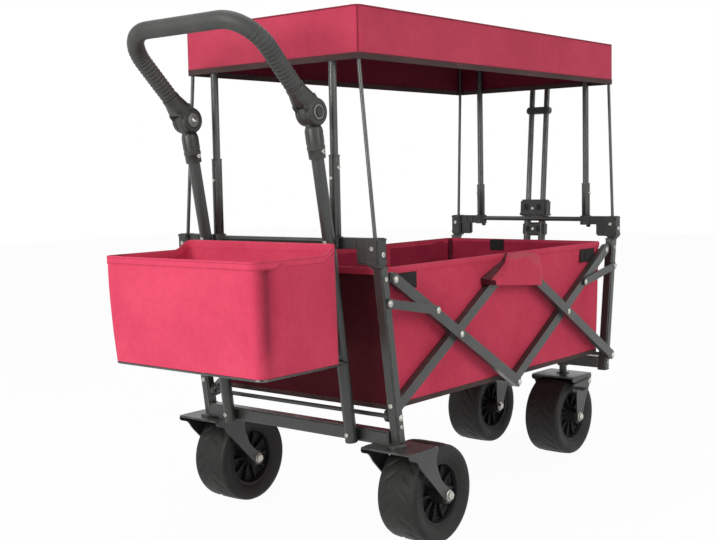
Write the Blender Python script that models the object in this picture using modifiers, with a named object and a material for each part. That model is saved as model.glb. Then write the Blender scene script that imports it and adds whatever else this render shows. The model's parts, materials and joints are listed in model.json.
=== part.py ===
"""Folding wagon with a fabric tub, a canopy, a tail basket, a push handle and a pull handle.

Metres, +Z up. X runs along the wagon: the push handle and the tail basket are at the rear, -X, and the
pull handle is at the front, +X. Left is +Y. Lengths are first given from the middle of the side scissors,
and the whole wagon then hangs under one empty, which brings the middle of its bounding box to X = 0.
"""
import math

import bmesh
import bpy
from mathutils import Matrix, Vector

CLEARANCE = 0.0003
FULL_TURN = 2.0 * math.pi

# Side scissors
HALF_BAY = 0.201
LOWER_PIVOT_Z = 0.236
UPPER_PIVOT_Z = 0.478
BAR_WIDTH = 0.020
BAR_THICKNESS = 0.012
TUB_TO_BAR_GAP = 0.004
LINK_POST_X = 0.4305
LINK_POST_Z = 0.437
LINK_BAR_SHARE = 0.275
LINK_WIDTH = 0.016
LINK_THICKNESS = 0.004
RIVET_RADIUS = 0.004
RIVET_HEAD_RADIUS = 0.0075
RIVET_HEAD_HEIGHT = 0.0025

# End frames
POST_WIDTH = 0.020
POST_X_AT_PIVOT = 0.4035
POST_LEAN = 0.136
POST_TOP_Z = 0.4987
REAR_POST_BOTTOM_Z = 0.190
FRONT_POST_BOTTOM_Z = 0.202
BEAM_HEIGHT = 0.025
BEAM_DEPTH = 0.024
BEAM_X = 0.402
REAR_BEAM_Z = 0.199
FRONT_BEAM_Z = 0.2175
CLAMP_SET_BACK = 0.00827
TOP_BAR_DROP = 0.0075
TOP_BAR_RADIUS = 0.0055
CLAMP_SIZE = 0.026
CLAMP_HEIGHT = 0.050
CLAMP_ARM_HEIGHT = 0.019
CLAMP_ARM_DEPTH = 0.016
CLAMP_RING_RADIUS = 0.0135

# Canopy
SLEEVE_Y = 0.145
SLEEVE_RADIUS = 0.0095
SLEEVE_WALL = 0.0014
REAR_SLEEVE_TOP_Z = 0.690
FRONT_SLEEVE_TOP_Z = 0.625
CANOPY_POST_RADIUS = 0.0070
CANOPY_POST_INSERT = 0.045
CANOPY_CLIP_WIDTH = 0.018
CANOPY_CLIP_HEIGHT = 0.014
ROD_RADIUS = 0.0034
ROD_SOCKET_DEPTH = 0.030
CANOPY_OVERHANG = 0.009
CANOPY_HALF_WIDTH = 0.210
CANOPY_BOTTOM_Z = 0.8485
CANOPY_EAVE_Z = 0.938
CANOPY_CROWN = 0.016
CANOPY_CLOTH = 0.0016

# Push handle
LEG_RADIUS = 0.011
LEG_Y = 0.152
LEG_BOTTOM_Z = 0.187
LEG_BEHIND_TOP_BAR = 0.0265
KNUCKLE_BEHIND_TOP_BAR = 0.0645
KNUCKLE_Z = 0.760
KNUCKLE_RADIUS = 0.023
KNUCKLE_SOCKET_THICKNESS = 0.014
KNUCKLE_CAP_THICKNESS = 0.010
KNUCKLE_SLEEVE_LENGTH = 0.068
KNUCKLE_SLEEVE_RADIUS = 0.0148
BUTTON_RADIUS = 0.0085
BUTTON_PROUD = 0.004
BUTTON_TRAVEL = 0.003
HANDLE_REACH = 0.143
HANDLE_RISE = 0.145
HANDLE_CORNER_RADIUS = 0.065
HANDLE_TUBE_RADIUS = 0.011
HANDLE_FOAM_RADIUS = 0.0155
HANDLE_BARE_LENGTH = 0.034

# Pull handle
PULL_PIVOT_X = 0.4335
PULL_PIVOT_Z = 0.2175
PULL_TUBE_GAP = 0.040
PULL_TUBE_RADIUS = 0.0085
PULL_TUBE_WALL = 0.0014
PULL_INNER_RADIUS = 0.0066
PULL_LOWER_LENGTH = 0.330
PULL_COLLAR_LENGTH = 0.040
PULL_COLLAR_WIDTH = 0.072
PULL_COLLAR_DEPTH = 0.026
PULL_GRIP_HEIGHT = 0.690
PULL_BRACE_HEIGHT = 0.585
PULL_GRIP_RADIUS = 0.0145
PULL_ROD_OVERLAP = 0.115
RELEASE_RADIUS = 0.006
PULL_TUBE_FOOT = 0.011
EAR_THICKNESS = 0.003
EAR_MARGIN = 0.003
PULL_PIN_RADIUS = 0.004
PULL_FOOT_BRACE_HEIGHT = 0.030
PULL_BRACE_LENGTH = 0.016
PULL_BRACE_DEPTH = 0.020
PULL_GUIDE_LENGTH = 0.032
PULL_GUIDE_WIDTH = 0.060
PULL_GUIDE_DEPTH = 0.0195
PULL_GUIDE_DROP = 0.0145

# Wheels
WHEEL_RADIUS = 0.0898
WHEEL_WIDTH = 0.084
WHEEL_SEGMENTS = 24
TYRE_SHOULDER = 0.013
HUB_RADIUS = 0.058
HUB_WIDTH = 0.070
HUB_RECESS = 0.014
HUB_BOSS_RADIUS = 0.016
AXLE_RADIUS = 0.005
AXLE_CLEARANCE = 0.0004
AXLE_HEAD_RADIUS = 0.009
AXLE_HEAD_HEIGHT = 0.006
FORK_GAP = 0.009
FORK_PLATE = 0.003
CROWN_TOP_Z = 0.1835
CROWN_PLATE = 0.0038
CASTER_X = 0.402
CASTER_TRAIL = 0.079
CASTER_CROWN_BACK = 0.034
CASTER_CROWN_FRONT = 0.050
STEM_RADIUS = 0.018
FRONT_WHEEL_X = 0.383
FRONT_WHEEL_Y = 0.108
FRONT_STEM_RADIUS = 0.0085
FRONT_CROWN_BACK = 0.052
FRONT_CROWN_FRONT = 0.038
FORK_EYE_RADIUS = 0.0135
FORK_LIP = 0.012
FORK_NECK_DROP = 0.006
FORK_NECK_TRAILED = 0.016
FORK_NECK_UPRIGHT = 0.006
BRAKE_PIVOT_X = 0.424
BRAKE_PIVOT_Z = 0.1655
BRAKE_TOE_X = 0.352
BRAKE_TOE_Z = 0.160
BRAKE_PLATE = 0.003
BRAKE_PEDAL_LENGTH = 0.034

# Fabric tub, floor boards and tail basket
TUB_HALF_LENGTH_BOTTOM = 0.384
TUB_HALF_LENGTH_TOP = 0.400
TUB_HALF_WIDTH = 0.2075
TUB_BOTTOM_Z = 0.2425
TUB_TOP_Z = 0.4935
TUB_CLOTH = 0.0016
FLAP_HALF_LENGTH = 0.115
FLAP_BOTTOM_Z = 0.432
FLAP_CLOTH = 0.002
BOARD_COUNT = 4
BOARD_THICKNESS = 0.005
BOARD_MARGIN = 0.012
BOARD_SEAM = 0.004
BASKET_LENGTH = 0.216
BASKET_TAPER = 0.014
BASKET_HALF_WIDTH = 0.182
BASKET_TOP_Z = 0.524
BASKET_BOTTOM_Z = 0.337
BASKET_CLOTH = 0.002
BASKET_WALL_RISE = 0.016
BASKET_WALL_LEAN = 0.005
BASKET_WIRE_RADIUS = 0.0022

# Values that follow from the sizes above
BAR_RISE = (UPPER_PIVOT_Z - LOWER_PIVOT_Z) / 2.0
MIDDLE_Z = LOWER_PIVOT_Z + BAR_RISE
BAR_LAYER_GAP = 0.0005
INNER_BAR_Y = TUB_HALF_WIDTH + TUB_TO_BAR_GAP + BAR_THICKNESS / 2.0
OUTER_BAR_Y = INNER_BAR_Y + BAR_THICKNESS + BAR_LAYER_GAP
REAR_POST_Y = INNER_BAR_Y + BAR_THICKNESS / 2.0 + BAR_LAYER_GAP + POST_WIDTH / 2.0
CASTER_Y = REAR_POST_Y
FRONT_POST_Y = OUTER_BAR_Y - BAR_THICKNESS / 2.0 - BAR_LAYER_GAP - POST_WIDTH / 2.0
PIVOT_X = 2.0 * HALF_BAY
REAR_LINK_Y = REAR_POST_Y + POST_WIDTH / 2.0 + CLEARANCE + LINK_THICKNESS / 2.0
FRONT_LINK_Y = FRONT_POST_Y + POST_WIDTH / 2.0 + CLEARANCE + LINK_THICKNESS / 2.0
AXLE_Z = WHEEL_RADIUS * math.cos(math.pi / WHEEL_SEGMENTS)
FORK_INNER_Y = WHEEL_WIDTH / 2.0 + FORK_GAP
FORK_OUTER_Y = FORK_INNER_Y + FORK_PLATE
EAR_INNER_Y = PULL_TUBE_GAP / 2.0 + PULL_TUBE_RADIUS + EAR_MARGIN
CLAMP_BOTTOM_Z = POST_TOP_Z + CLEARANCE
CLAMP_TOP_Z = CLAMP_BOTTOM_Z + CLAMP_HEIGHT
TOP_BAR_X = POST_X_AT_PIVOT + POST_LEAN * (POST_TOP_Z - LOWER_PIVOT_Z) + CLAMP_SET_BACK
TOP_BAR_Z = CLAMP_TOP_Z - TOP_BAR_DROP
LEG_X_AT_TOP_BAR = TOP_BAR_X + LEG_BEHIND_TOP_BAR
KNUCKLE_X = TOP_BAR_X + KNUCKLE_BEHIND_TOP_BAR
HANDLE_REACH_X = KNUCKLE_X + HANDLE_REACH
HANDLE_REACH_Z = KNUCKLE_Z + HANDLE_RISE
CANOPY_HALF_LENGTH = TOP_BAR_X + CANOPY_OVERHANG
BASKET_FRONT_TOP_X = LEG_X_AT_TOP_BAR + BASKET_LENGTH
BASKET_FRONT_BOTTOM_X = BASKET_FRONT_TOP_X - BASKET_TAPER
TOP_BAR_ABOVE_PULL_PIVOT = TOP_BAR_Z - PULL_PIVOT_Z
PULL_HANDLE_ROOM = 0.0009
COLLAR_PASSES_TOP_BAR = PULL_LOWER_LENGTH < TOP_BAR_ABOVE_PULL_PIVOT + TOP_BAR_RADIUS
PULL_HALF_AT_TOP_BAR = PULL_COLLAR_DEPTH / 2.0 if COLLAR_PASSES_TOP_BAR else PULL_TUBE_RADIUS
PULL_LEAN = math.atan2(TOP_BAR_X + TOP_BAR_RADIUS + PULL_HANDLE_ROOM + PULL_HALF_AT_TOP_BAR - PULL_PIVOT_X,
                       TOP_BAR_ABOVE_PULL_PIVOT)
PULL_REACH_X = PULL_PIVOT_X + PULL_GRIP_HEIGHT * math.sin(PULL_LEAN) + PULL_GRIP_RADIUS
CENTRE_SHIFT = (BASKET_FRONT_TOP_X - PULL_REACH_X) / 2.0

COLOURS = {
    "frame": ((0.045, 0.047, 0.046), 0.38, 0.7),
    "plastic": ((0.030, 0.031, 0.031), 0.55, 0.0),
    "foam": ((0.075, 0.075, 0.073), 0.75, 0.0),
    "tyre": ((0.022, 0.022, 0.021), 0.80, 0.0),
    "fabric": ((0.62, 0.045, 0.12), 0.85, 0.0),
    "board": ((0.05, 0.045, 0.045), 0.9, 0.0),
    "steel": ((0.62, 0.62, 0.60), 0.30, 1.0),
}

SIDES = ((1.0, "left"), (-1.0, "right"))
WELD = 0.002

collections = {}
materials = {}
bodies = {}


def clear_scene():
    """Remove what the file holds, so the wagon stands alone."""
    for thing in list(bpy.data.objects):
        bpy.data.objects.remove(thing, do_unlink=True)
    for name in ("folding_wagon", "cutters"):
        group = bpy.data.collections.new(name)
        bpy.context.scene.collection.children.link(group)
        collections[name] = group


def make_materials():
    """One Principled material for each finish."""
    for name, (colour, roughness, metallic) in COLOURS.items():
        material = bpy.data.materials.new(name)
        material.use_nodes = True
        shader = material.node_tree.nodes["Principled BSDF"]
        shader.inputs["Base Color"].default_value = (*colour, 1.0)
        shader.inputs["Roughness"].default_value = roughness
        shader.inputs["Metallic"].default_value = metallic
        materials[name] = material


def add_body(name, pivot, parent=None, tilt=0.0):
    """An empty on a moving body's axis; its pieces hang under it."""
    empty = bpy.data.objects.new(name, None)
    empty.empty_display_size = 0.03
    collections["folding_wagon"].objects.link(empty)
    pivot = Vector(pivot)
    if parent is None:
        empty.location = (CENTRE_SHIFT, 0.0, 0.0)
        bodies[name] = (empty, Vector((0.0, 0.0, 0.0)))
        return empty
    holder, holder_pivot = bodies[parent]
    empty.parent = holder
    empty.location = pivot - holder_pivot
    empty.rotation_euler = (0.0, tilt, 0.0)
    bodies[name] = (empty, pivot)
    return empty


def attach(thing, body, local=False):
    """Hang a piece under its body; wagon coordinates become coordinates from the body's pivot."""
    empty, pivot = bodies[body]
    thing.parent = empty
    if not local:
        thing.location = Vector(thing.location) - pivot
    return thing


def add_object(name, data, body, finish, location=(0.0, 0.0, 0.0), turn=(0.0, 0.0, 0.0), local=False):
    """A named piece in the wagon's collection."""
    thing = bpy.data.objects.new(name, data)
    collections["folding_wagon"].objects.link(thing)
    thing.location = location
    thing.rotation_euler = turn
    if finish:
        data.materials.append(materials[finish])
    return attach(thing, body, local)


def as_cutter(thing):
    """Turn a piece into a shape that only cuts or joins another one."""
    collections["folding_wagon"].objects.unlink(thing)
    collections["cutters"].objects.link(thing)
    thing.hide_render = True
    thing.display_type = "WIRE"
    return thing


def boolean(thing, tool, operation="DIFFERENCE"):
    """Cut a piece with a tool, or join the tool to it."""
    step = thing.modifiers.new(operation.lower(), "BOOLEAN")
    step.operation = operation
    step.solver = "EXACT"
    step.object = tool
    return thing


def smooth(mesh, angle=35.0):
    """Shade round faces smooth and keep the real edges sharp."""
    mesh.shade_smooth()
    mesh.set_sharp_from_angle(angle=math.radians(angle))


def box(name, size, centre, body, finish, turn=(0.0, 0.0, 0.0), bevel=0.0, local=False):
    """A block with an optional small bevel on its edges."""
    mesh = bpy.data.meshes.new(name)
    shape = bmesh.new()
    bmesh.ops.create_cube(shape, size=1.0, matrix=Matrix.Diagonal((*size, 1.0)))
    shape.to_mesh(mesh)
    shape.free()
    thing = add_object(name, mesh, body, finish, centre, turn, local)
    if bevel:
        step = thing.modifiers.new("edges", "BEVEL")
        step.width = bevel
        step.segments = 1
    return thing


def cylinder(name, radius, length, centre, axis, body, finish, segments=16, local=False):
    """A round bar along X, Y or Z."""
    mesh = bpy.data.meshes.new(name)
    shape = bmesh.new()
    bmesh.ops.create_cone(shape, cap_ends=True, segments=segments, radius1=radius, radius2=radius,
                          depth=length)
    shape.to_mesh(mesh)
    shape.free()
    smooth(mesh)
    turn = {"X": (0.0, math.pi / 2.0, 0.0), "Y": (math.pi / 2.0, 0.0, 0.0), "Z": (0.0, 0.0, 0.0)}[axis]
    return add_object(name, mesh, body, finish, centre, turn, local)


def tube(name, points, radius, body, finish, resolution=2, caps=True, cyclic=False, local=False):
    """A round bar that follows a line of points."""
    curve = bpy.data.curves.new(name, "CURVE")
    curve.dimensions = "3D"
    curve.bevel_depth = radius
    curve.bevel_resolution = resolution
    curve.use_fill_caps = caps
    spline = curve.splines.new("POLY")
    spline.points.add(len(points) - 1)
    for point, place in zip(spline.points, points):
        point.co = (*place, 1.0)
    spline.use_cyclic_u = cyclic
    return add_object(name, curve, body, finish, local=local)


def plate(name, outline, holes, thickness, y, body, finish):
    """A flat piece that stands in the XZ plane, with round holes given as (x, z, radius)."""
    curve = bpy.data.curves.new(name, "CURVE")
    curve.dimensions = "2D"
    curve.fill_mode = "BOTH"
    curve.extrude = thickness / 2.0
    loops = [outline]
    for x, z, radius in holes:
        loops.append([(x + radius * math.cos(a), z + radius * math.sin(a)) for a in steps_round(10)])
    for loop in loops:
        spline = curve.splines.new("POLY")
        spline.points.add(len(loop) - 1)
        for point, (x, z) in zip(spline.points, loop):
            point.co = (x, z, 0.0, 1.0)
        spline.use_cyclic_u = True
    return add_object(name, curve, body, finish, (0.0, y, 0.0), (math.pi / 2.0, 0.0, 0.0))


def steps_round(count, start=0.0, sweep=FULL_TURN, closed=True):
    """Angles along an arc; a closed arc leaves out the last one."""
    last = count if closed else count - 1
    return [start + sweep * index / last for index in range(count)]


def turned(name, profile, body, finish, centre, axis="Z", segments=16, start=0.0, local=False):
    """A lathe shape: (radius, height) pairs, top to bottom down the outer side, spun about an axis."""
    mesh = bpy.data.meshes.new(name)
    shape = bmesh.new()
    rim = [shape.verts.new((r * math.cos(start), r * math.sin(start), h)) for r, h in profile]
    closed = profile[0][0] > 0.0
    for first, second in zip(rim, rim[1:]):
        shape.edges.new((first, second))
    if closed:
        shape.edges.new((rim[-1], rim[0]))
    shape.to_mesh(mesh)
    shape.free()
    turn = {"X": (0.0, math.pi / 2.0, 0.0), "Y": (math.pi / 2.0, 0.0, 0.0), "Z": (0.0, 0.0, 0.0)}[axis]
    thing = add_object(name, mesh, body, finish, centre, turn, local)
    step = thing.modifiers.new("lathe", "SCREW")
    step.steps = segments
    step.render_steps = segments
    step.use_merge_vertices = True
    step.merge_threshold = 0.00005
    return thing


def to_mesh_object(thing, weld=True):
    """Replace a curve by the mesh that it draws, with its loose caps welded on."""
    bpy.context.view_layer.update()
    graph = bpy.context.evaluated_depsgraph_get()
    mesh = bpy.data.meshes.new_from_object(thing.evaluated_get(graph), depsgraph=graph)
    if weld:
        shape = bmesh.new()
        shape.from_mesh(mesh)
        bmesh.ops.remove_doubles(shape, verts=shape.verts, dist=0.00002)
        shape.to_mesh(mesh)
        shape.free()
    name = thing.name
    parent = thing.parent
    place = (thing.location.copy(), thing.rotation_euler.copy())
    home = thing.users_collection[0]
    bpy.data.objects.remove(thing, do_unlink=True)
    solid = bpy.data.objects.new(name, mesh)
    home.objects.link(solid)
    solid.parent = parent
    solid.location, solid.rotation_euler = place
    mesh.name = name
    return solid


def join_meshes(thing, others):
    """Add separate solids of the same kind to a piece, so they share its node."""
    bpy.context.view_layer.update()
    shape = bmesh.new()
    shape.from_mesh(thing.data)
    home = thing.matrix_world.inverted()
    for other in others:
        copy = other.data.copy()
        copy.transform(home @ other.matrix_world)
        shape.from_mesh(copy)
        bpy.data.objects.remove(other, do_unlink=True)
    shape.to_mesh(thing.data)
    shape.free()
    return thing


def rounded_path(corners, radius, steps=5):
    """A line through corners, with each inner corner rounded by an arc."""
    path = [Vector(corners[0])]
    for before, corner, after in zip(corners, corners[1:], corners[2:]):
        corner = Vector(corner)
        back = (Vector(before) - corner).normalized()
        ahead = (Vector(after) - corner).normalized()
        half = back.angle(ahead) / 2.0
        reach = radius / math.tan(half)
        centre = corner + (back + ahead).normalized() * (radius / math.sin(half))
        first = corner + back * reach - centre
        last = corner + ahead * reach - centre
        for share in range(steps + 1):
            turn = first.angle(last) * share / steps
            axis = first.cross(last).normalized()
            path.append(centre + Matrix.Rotation(turn, 3, axis) @ first)
    path.append(Vector(corners[-1]))
    return path


def bar_outline(start, end, width):
    """A bar with round ends between two pivots, in the XZ plane."""
    angle = math.atan2(end[1] - start[1], end[0] - start[0])
    half = width / 2.0
    outline = []
    for pivot, turn in ((start, angle + math.pi / 2.0), (end, angle - math.pi / 2.0)):
        for a in steps_round(7, turn, math.pi, closed=False):
            outline.append((pivot[0] + half * math.cos(a), pivot[1] + half * math.sin(a)))
    return outline


def post_x(z):
    """Distance of a post's middle line from the wagon's middle at a height."""
    return POST_X_AT_PIVOT + (z - LOWER_PIVOT_Z) * POST_LEAN


def leg_x(z):
    """Distance of a push-handle leg's middle line from the wagon's middle at a height."""
    foot = BEAM_X + BEAM_DEPTH / 2.0 + 2.0 * CLEARANCE + LEG_RADIUS
    if z <= TOP_BAR_Z:
        share = (z - LEG_BOTTOM_Z) / (TOP_BAR_Z - LEG_BOTTOM_Z)
        return foot + share * (LEG_X_AT_TOP_BAR - foot)
    share = (z - TOP_BAR_Z) / (KNUCKLE_Z - TOP_BAR_Z)
    return LEG_X_AT_TOP_BAR + share * (KNUCKLE_X - LEG_X_AT_TOP_BAR)


def stud(radius, start, end, head_start):
    """A pin with a rivet head at its outer end: heights run outwards from the wagon's middle plane."""
    return [(0.0, end), (RIVET_HEAD_RADIUS * 0.7, end), (RIVET_HEAD_RADIUS, end - RIVET_HEAD_HEIGHT * 0.5),
            (RIVET_HEAD_RADIUS, head_start), (radius, head_start), (radius, start), (0.0, start)]


def headed_rod(radius, reach, overlap=0.0):
    """A rod across the wagon with a rivet head outside each end; the heads may sink into a bar."""
    end = reach + RIVET_HEAD_HEIGHT
    rim = end - RIVET_HEAD_HEIGHT * 0.5
    seat = reach - overlap
    half = [(0.0, end), (RIVET_HEAD_RADIUS * 0.7, end), (RIVET_HEAD_RADIUS, rim), (RIVET_HEAD_RADIUS, seat),
            (radius, seat)]
    return half + [(r, -h) for r, h in reversed(half)]


def add_stud(name, x, z, start, end, head_start, side, body):
    """A stud that points outwards on one side of the wagon, as a shape to join to a bar or a post."""
    profile = stud(RIVET_RADIUS, start, end, head_start)
    thing = turned(name, profile, body, None, (x, 0.0, z), "Y", 10)
    thing.rotation_euler = (-side * math.pi / 2.0, 0.0, 0.0)
    return thing


def weld(thing, tools):
    """Join solid shapes to a piece, one after the other."""
    for tool in tools:
        boolean(thing, as_cutter(tool), "UNION")
    return thing


def make_bodies():
    """The rigid bodies, each with its empty on the axis that it turns about."""
    add_body("rear_frame", (0.0, 0.0, 0.0))
    add_body("rising_rear", (-PIVOT_X, 0.0, LOWER_PIVOT_Z), "rear_frame")
    add_body("falling_rear", (-HALF_BAY, 0.0, MIDDLE_Z), "rising_rear")
    add_body("falling_front", (0.0, 0.0, UPPER_PIVOT_Z), "rising_rear")
    add_body("rising_front", (HALF_BAY, 0.0, MIDDLE_Z), "falling_front")
    add_body("front_frame", (PIVOT_X, 0.0, LOWER_PIVOT_Z), "falling_front")
    add_body("rear_links", (-LINK_POST_X, 0.0, LINK_POST_Z), "rear_frame")
    add_body("front_links", (LINK_POST_X, 0.0, LINK_POST_Z), "front_frame")
    add_body("push_handle", (-KNUCKLE_X, 0.0, KNUCKLE_Z), "rear_frame")
    add_body("canopy_rear", (-TOP_BAR_X, 0.0, TOP_BAR_Z), "rear_frame")
    add_body("canopy_front", (TOP_BAR_X, 0.0, TOP_BAR_Z), "front_frame")
    add_body("pull_handle", (PULL_PIVOT_X, 0.0, PULL_PIVOT_Z), "front_frame", PULL_LEAN)
    add_body("pull_inner", (0.0, 0.0, 0.0), "pull_handle")
    bodies["pull_inner"][0].location = (0.0, 0.0, PULL_LOWER_LENGTH)
    add_body("pull_button", (0.0, 0.0, 0.0), "pull_inner")
    bodies["pull_button"][0].location = (0.0, 0.0, PULL_BRACE_HEIGHT - PULL_LOWER_LENGTH)
    for side, word in ((1.0, "left"), (-1.0, "right")):
        add_body("caster_" + word, (-CASTER_X, side * CASTER_Y, CROWN_TOP_Z), "rear_frame")
        add_body("rear_wheel_" + word, (-CASTER_X + CASTER_TRAIL, side * CASTER_Y, AXLE_Z),
                 "caster_" + word)
        add_body("front_wheel_" + word, (FRONT_WHEEL_X, side * FRONT_WHEEL_Y, AXLE_Z), "front_frame")
        add_body("brake_" + word, (BRAKE_PIVOT_X, side * FRONT_WHEEL_Y, BRAKE_PIVOT_Z), "front_frame")
        add_body("button_" + word, (-KNUCKLE_X, side * LEG_Y, KNUCKLE_Z), "push_handle")


def make_scissors():
    """The side scissors: rising bars in an inner layer, falling bars in an outer one, joined by rods."""
    hole = RIVET_RADIUS + CLEARANCE
    low, high = LOWER_PIVOT_Z, UPPER_PIVOT_Z
    outer_face = OUTER_BAR_Y + BAR_THICKNESS / 2.0
    head_seat = outer_face + CLEARANCE
    head_end = head_seat + RIVET_HEAD_HEIGHT

    def bar(name, start, end, holes, y, body):
        outline = bar_outline(start, end, BAR_WIDTH)
        return to_mesh_object(plate(name, outline, holes, BAR_THICKNESS, y, body, "frame"))

    def studs(name, spots, body):
        return [add_stud(f"{name}_{x}_{word}", x, z, INNER_BAR_Y, head_end, head_seat, side, body)
                for x, z in spots for side, word in SIDES]

    def rod(name, x, reach, overlap, body):
        return turned(name, headed_rod(RIVET_RADIUS, reach, overlap), body, None, (x, 0.0, low), "Y", 10)

    rear_post_face = REAR_POST_Y + POST_WIDTH / 2.0 + CLEARANCE
    rising_rear = bar("rising_frame_rear", (-PIVOT_X, low), (0.0, high), [], INNER_BAR_Y, "rising_rear")
    weld(rising_rear, [bar("rising_rear_right", (-PIVOT_X, low), (0.0, high), [], -INNER_BAR_Y,
                           "rising_rear"),
                       rod("rear_cross_rod", -PIVOT_X, rear_post_face, 0.0, "rising_rear")]
         + studs("rear_stud", [(-HALF_BAY, MIDDLE_Z), (0.0, high)], "rising_rear"))
    rising_front = bar("rising_frame_front", (0.0, low), (PIVOT_X, high), [], INNER_BAR_Y, "rising_front")
    weld(rising_front, [bar("rising_front_right", (0.0, low), (PIVOT_X, high), [], -INNER_BAR_Y,
                            "rising_front"),
                        rod("hub_cross_rod", 0.0, head_seat, 0.0, "rising_front")]
         + studs("front_stud", [(HALF_BAY, MIDDLE_Z)], "rising_front"))
    front_holes = [(0.0, high, hole), (HALF_BAY, MIDDLE_Z, hole)]
    falling_front = bar("falling_frame_front", (0.0, high), (PIVOT_X, low), front_holes, OUTER_BAR_Y,
                        "falling_front")
    weld(falling_front, [bar("falling_front_right", (0.0, high), (PIVOT_X, low), front_holes, -OUTER_BAR_Y,
                             "falling_front"),
                         rod("front_cross_rod", PIVOT_X, outer_face, WELD, "falling_front")])
    rear_holes = [(-HALF_BAY, MIDDLE_Z, hole), (0.0, low, hole)]
    link_drop = 2.0 * BAR_RISE * LINK_BAR_SHARE
    for side, word in SIDES:
        bar("falling_bar_rear_" + word, (-PIVOT_X, high), (0.0, low), rear_holes, side * OUTER_BAR_Y,
            "falling_rear")
        for end, sign, y, body in (("rear", -1.0, REAR_LINK_Y, "rear_links"),
                                   ("front", 1.0, FRONT_LINK_Y, "front_links")):
            post_end = (sign * LINK_POST_X, LINK_POST_Z)
            bar_end = (sign * PIVOT_X * (1.0 - LINK_BAR_SHARE), high - link_drop)
            plate(f"{end}_link_{word}", bar_outline(post_end, bar_end, LINK_WIDTH), [(*post_end, hole)],
                  LINK_THICKNESS, side * y, body, "frame")


def make_posts():
    """Welded end frames: leaning corner posts, the lower beam, link studs and the caster bearings."""
    hole = RIVET_RADIUS + CLEARANCE
    half = POST_WIDTH / 2.0
    for end, sign, bottom, y, beam_z, link_y, body in (
            ("rear", -1.0, REAR_POST_BOTTOM_Z, REAR_POST_Y, REAR_BEAM_Z, REAR_LINK_Y, "rear_frame"),
            ("front", 1.0, FRONT_POST_BOTTOM_Z, FRONT_POST_Y, FRONT_BEAM_Z, FRONT_LINK_Y, "front_frame")):
        outline = [(sign * post_x(bottom) - half, bottom), (sign * post_x(bottom) + half, bottom),
                   (sign * post_x(POST_TOP_Z) + half, POST_TOP_Z),
                   (sign * post_x(POST_TOP_Z) - half, POST_TOP_Z)]
        posts = []
        tools = []
        for side, word in SIDES:
            holes = [(sign * PIVOT_X, LOWER_PIVOT_Z, hole)]
            posts.append(to_mesh_object(plate(f"{end}_post_{word}", outline, holes, POST_WIDTH, side * y,
                                              body, "frame")))
            seat = link_y + LINK_THICKNESS / 2.0 + CLEARANCE
            tools.append(add_stud(f"{end}_link_stud_{word}", sign * LINK_POST_X, LINK_POST_Z, y,
                                  seat + RIVET_HEAD_HEIGHT, seat, side, body))
            if end == "rear":
                bearing_low = CROWN_TOP_Z + CLEARANCE
                bearing_high = bottom + WELD
                tools.append(cylinder(f"caster_bearing_{word}", STEM_RADIUS, bearing_high - bearing_low,
                                      (-CASTER_X, side * CASTER_Y, (bearing_low + bearing_high) / 2.0), "Z",
                                      body, None, 20))
        beam_half = y - half + WELD
        frame = posts[0]
        frame.name = end + "_end_frame"
        beam = box(f"{end}_lower_beam", (BEAM_DEPTH, 2.0 * beam_half, BEAM_HEIGHT),
                   (sign * BEAM_X, 0.0, beam_z), body, None, bevel=0.002)
        weld(frame, [beam, posts[1]] + tools)


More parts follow.
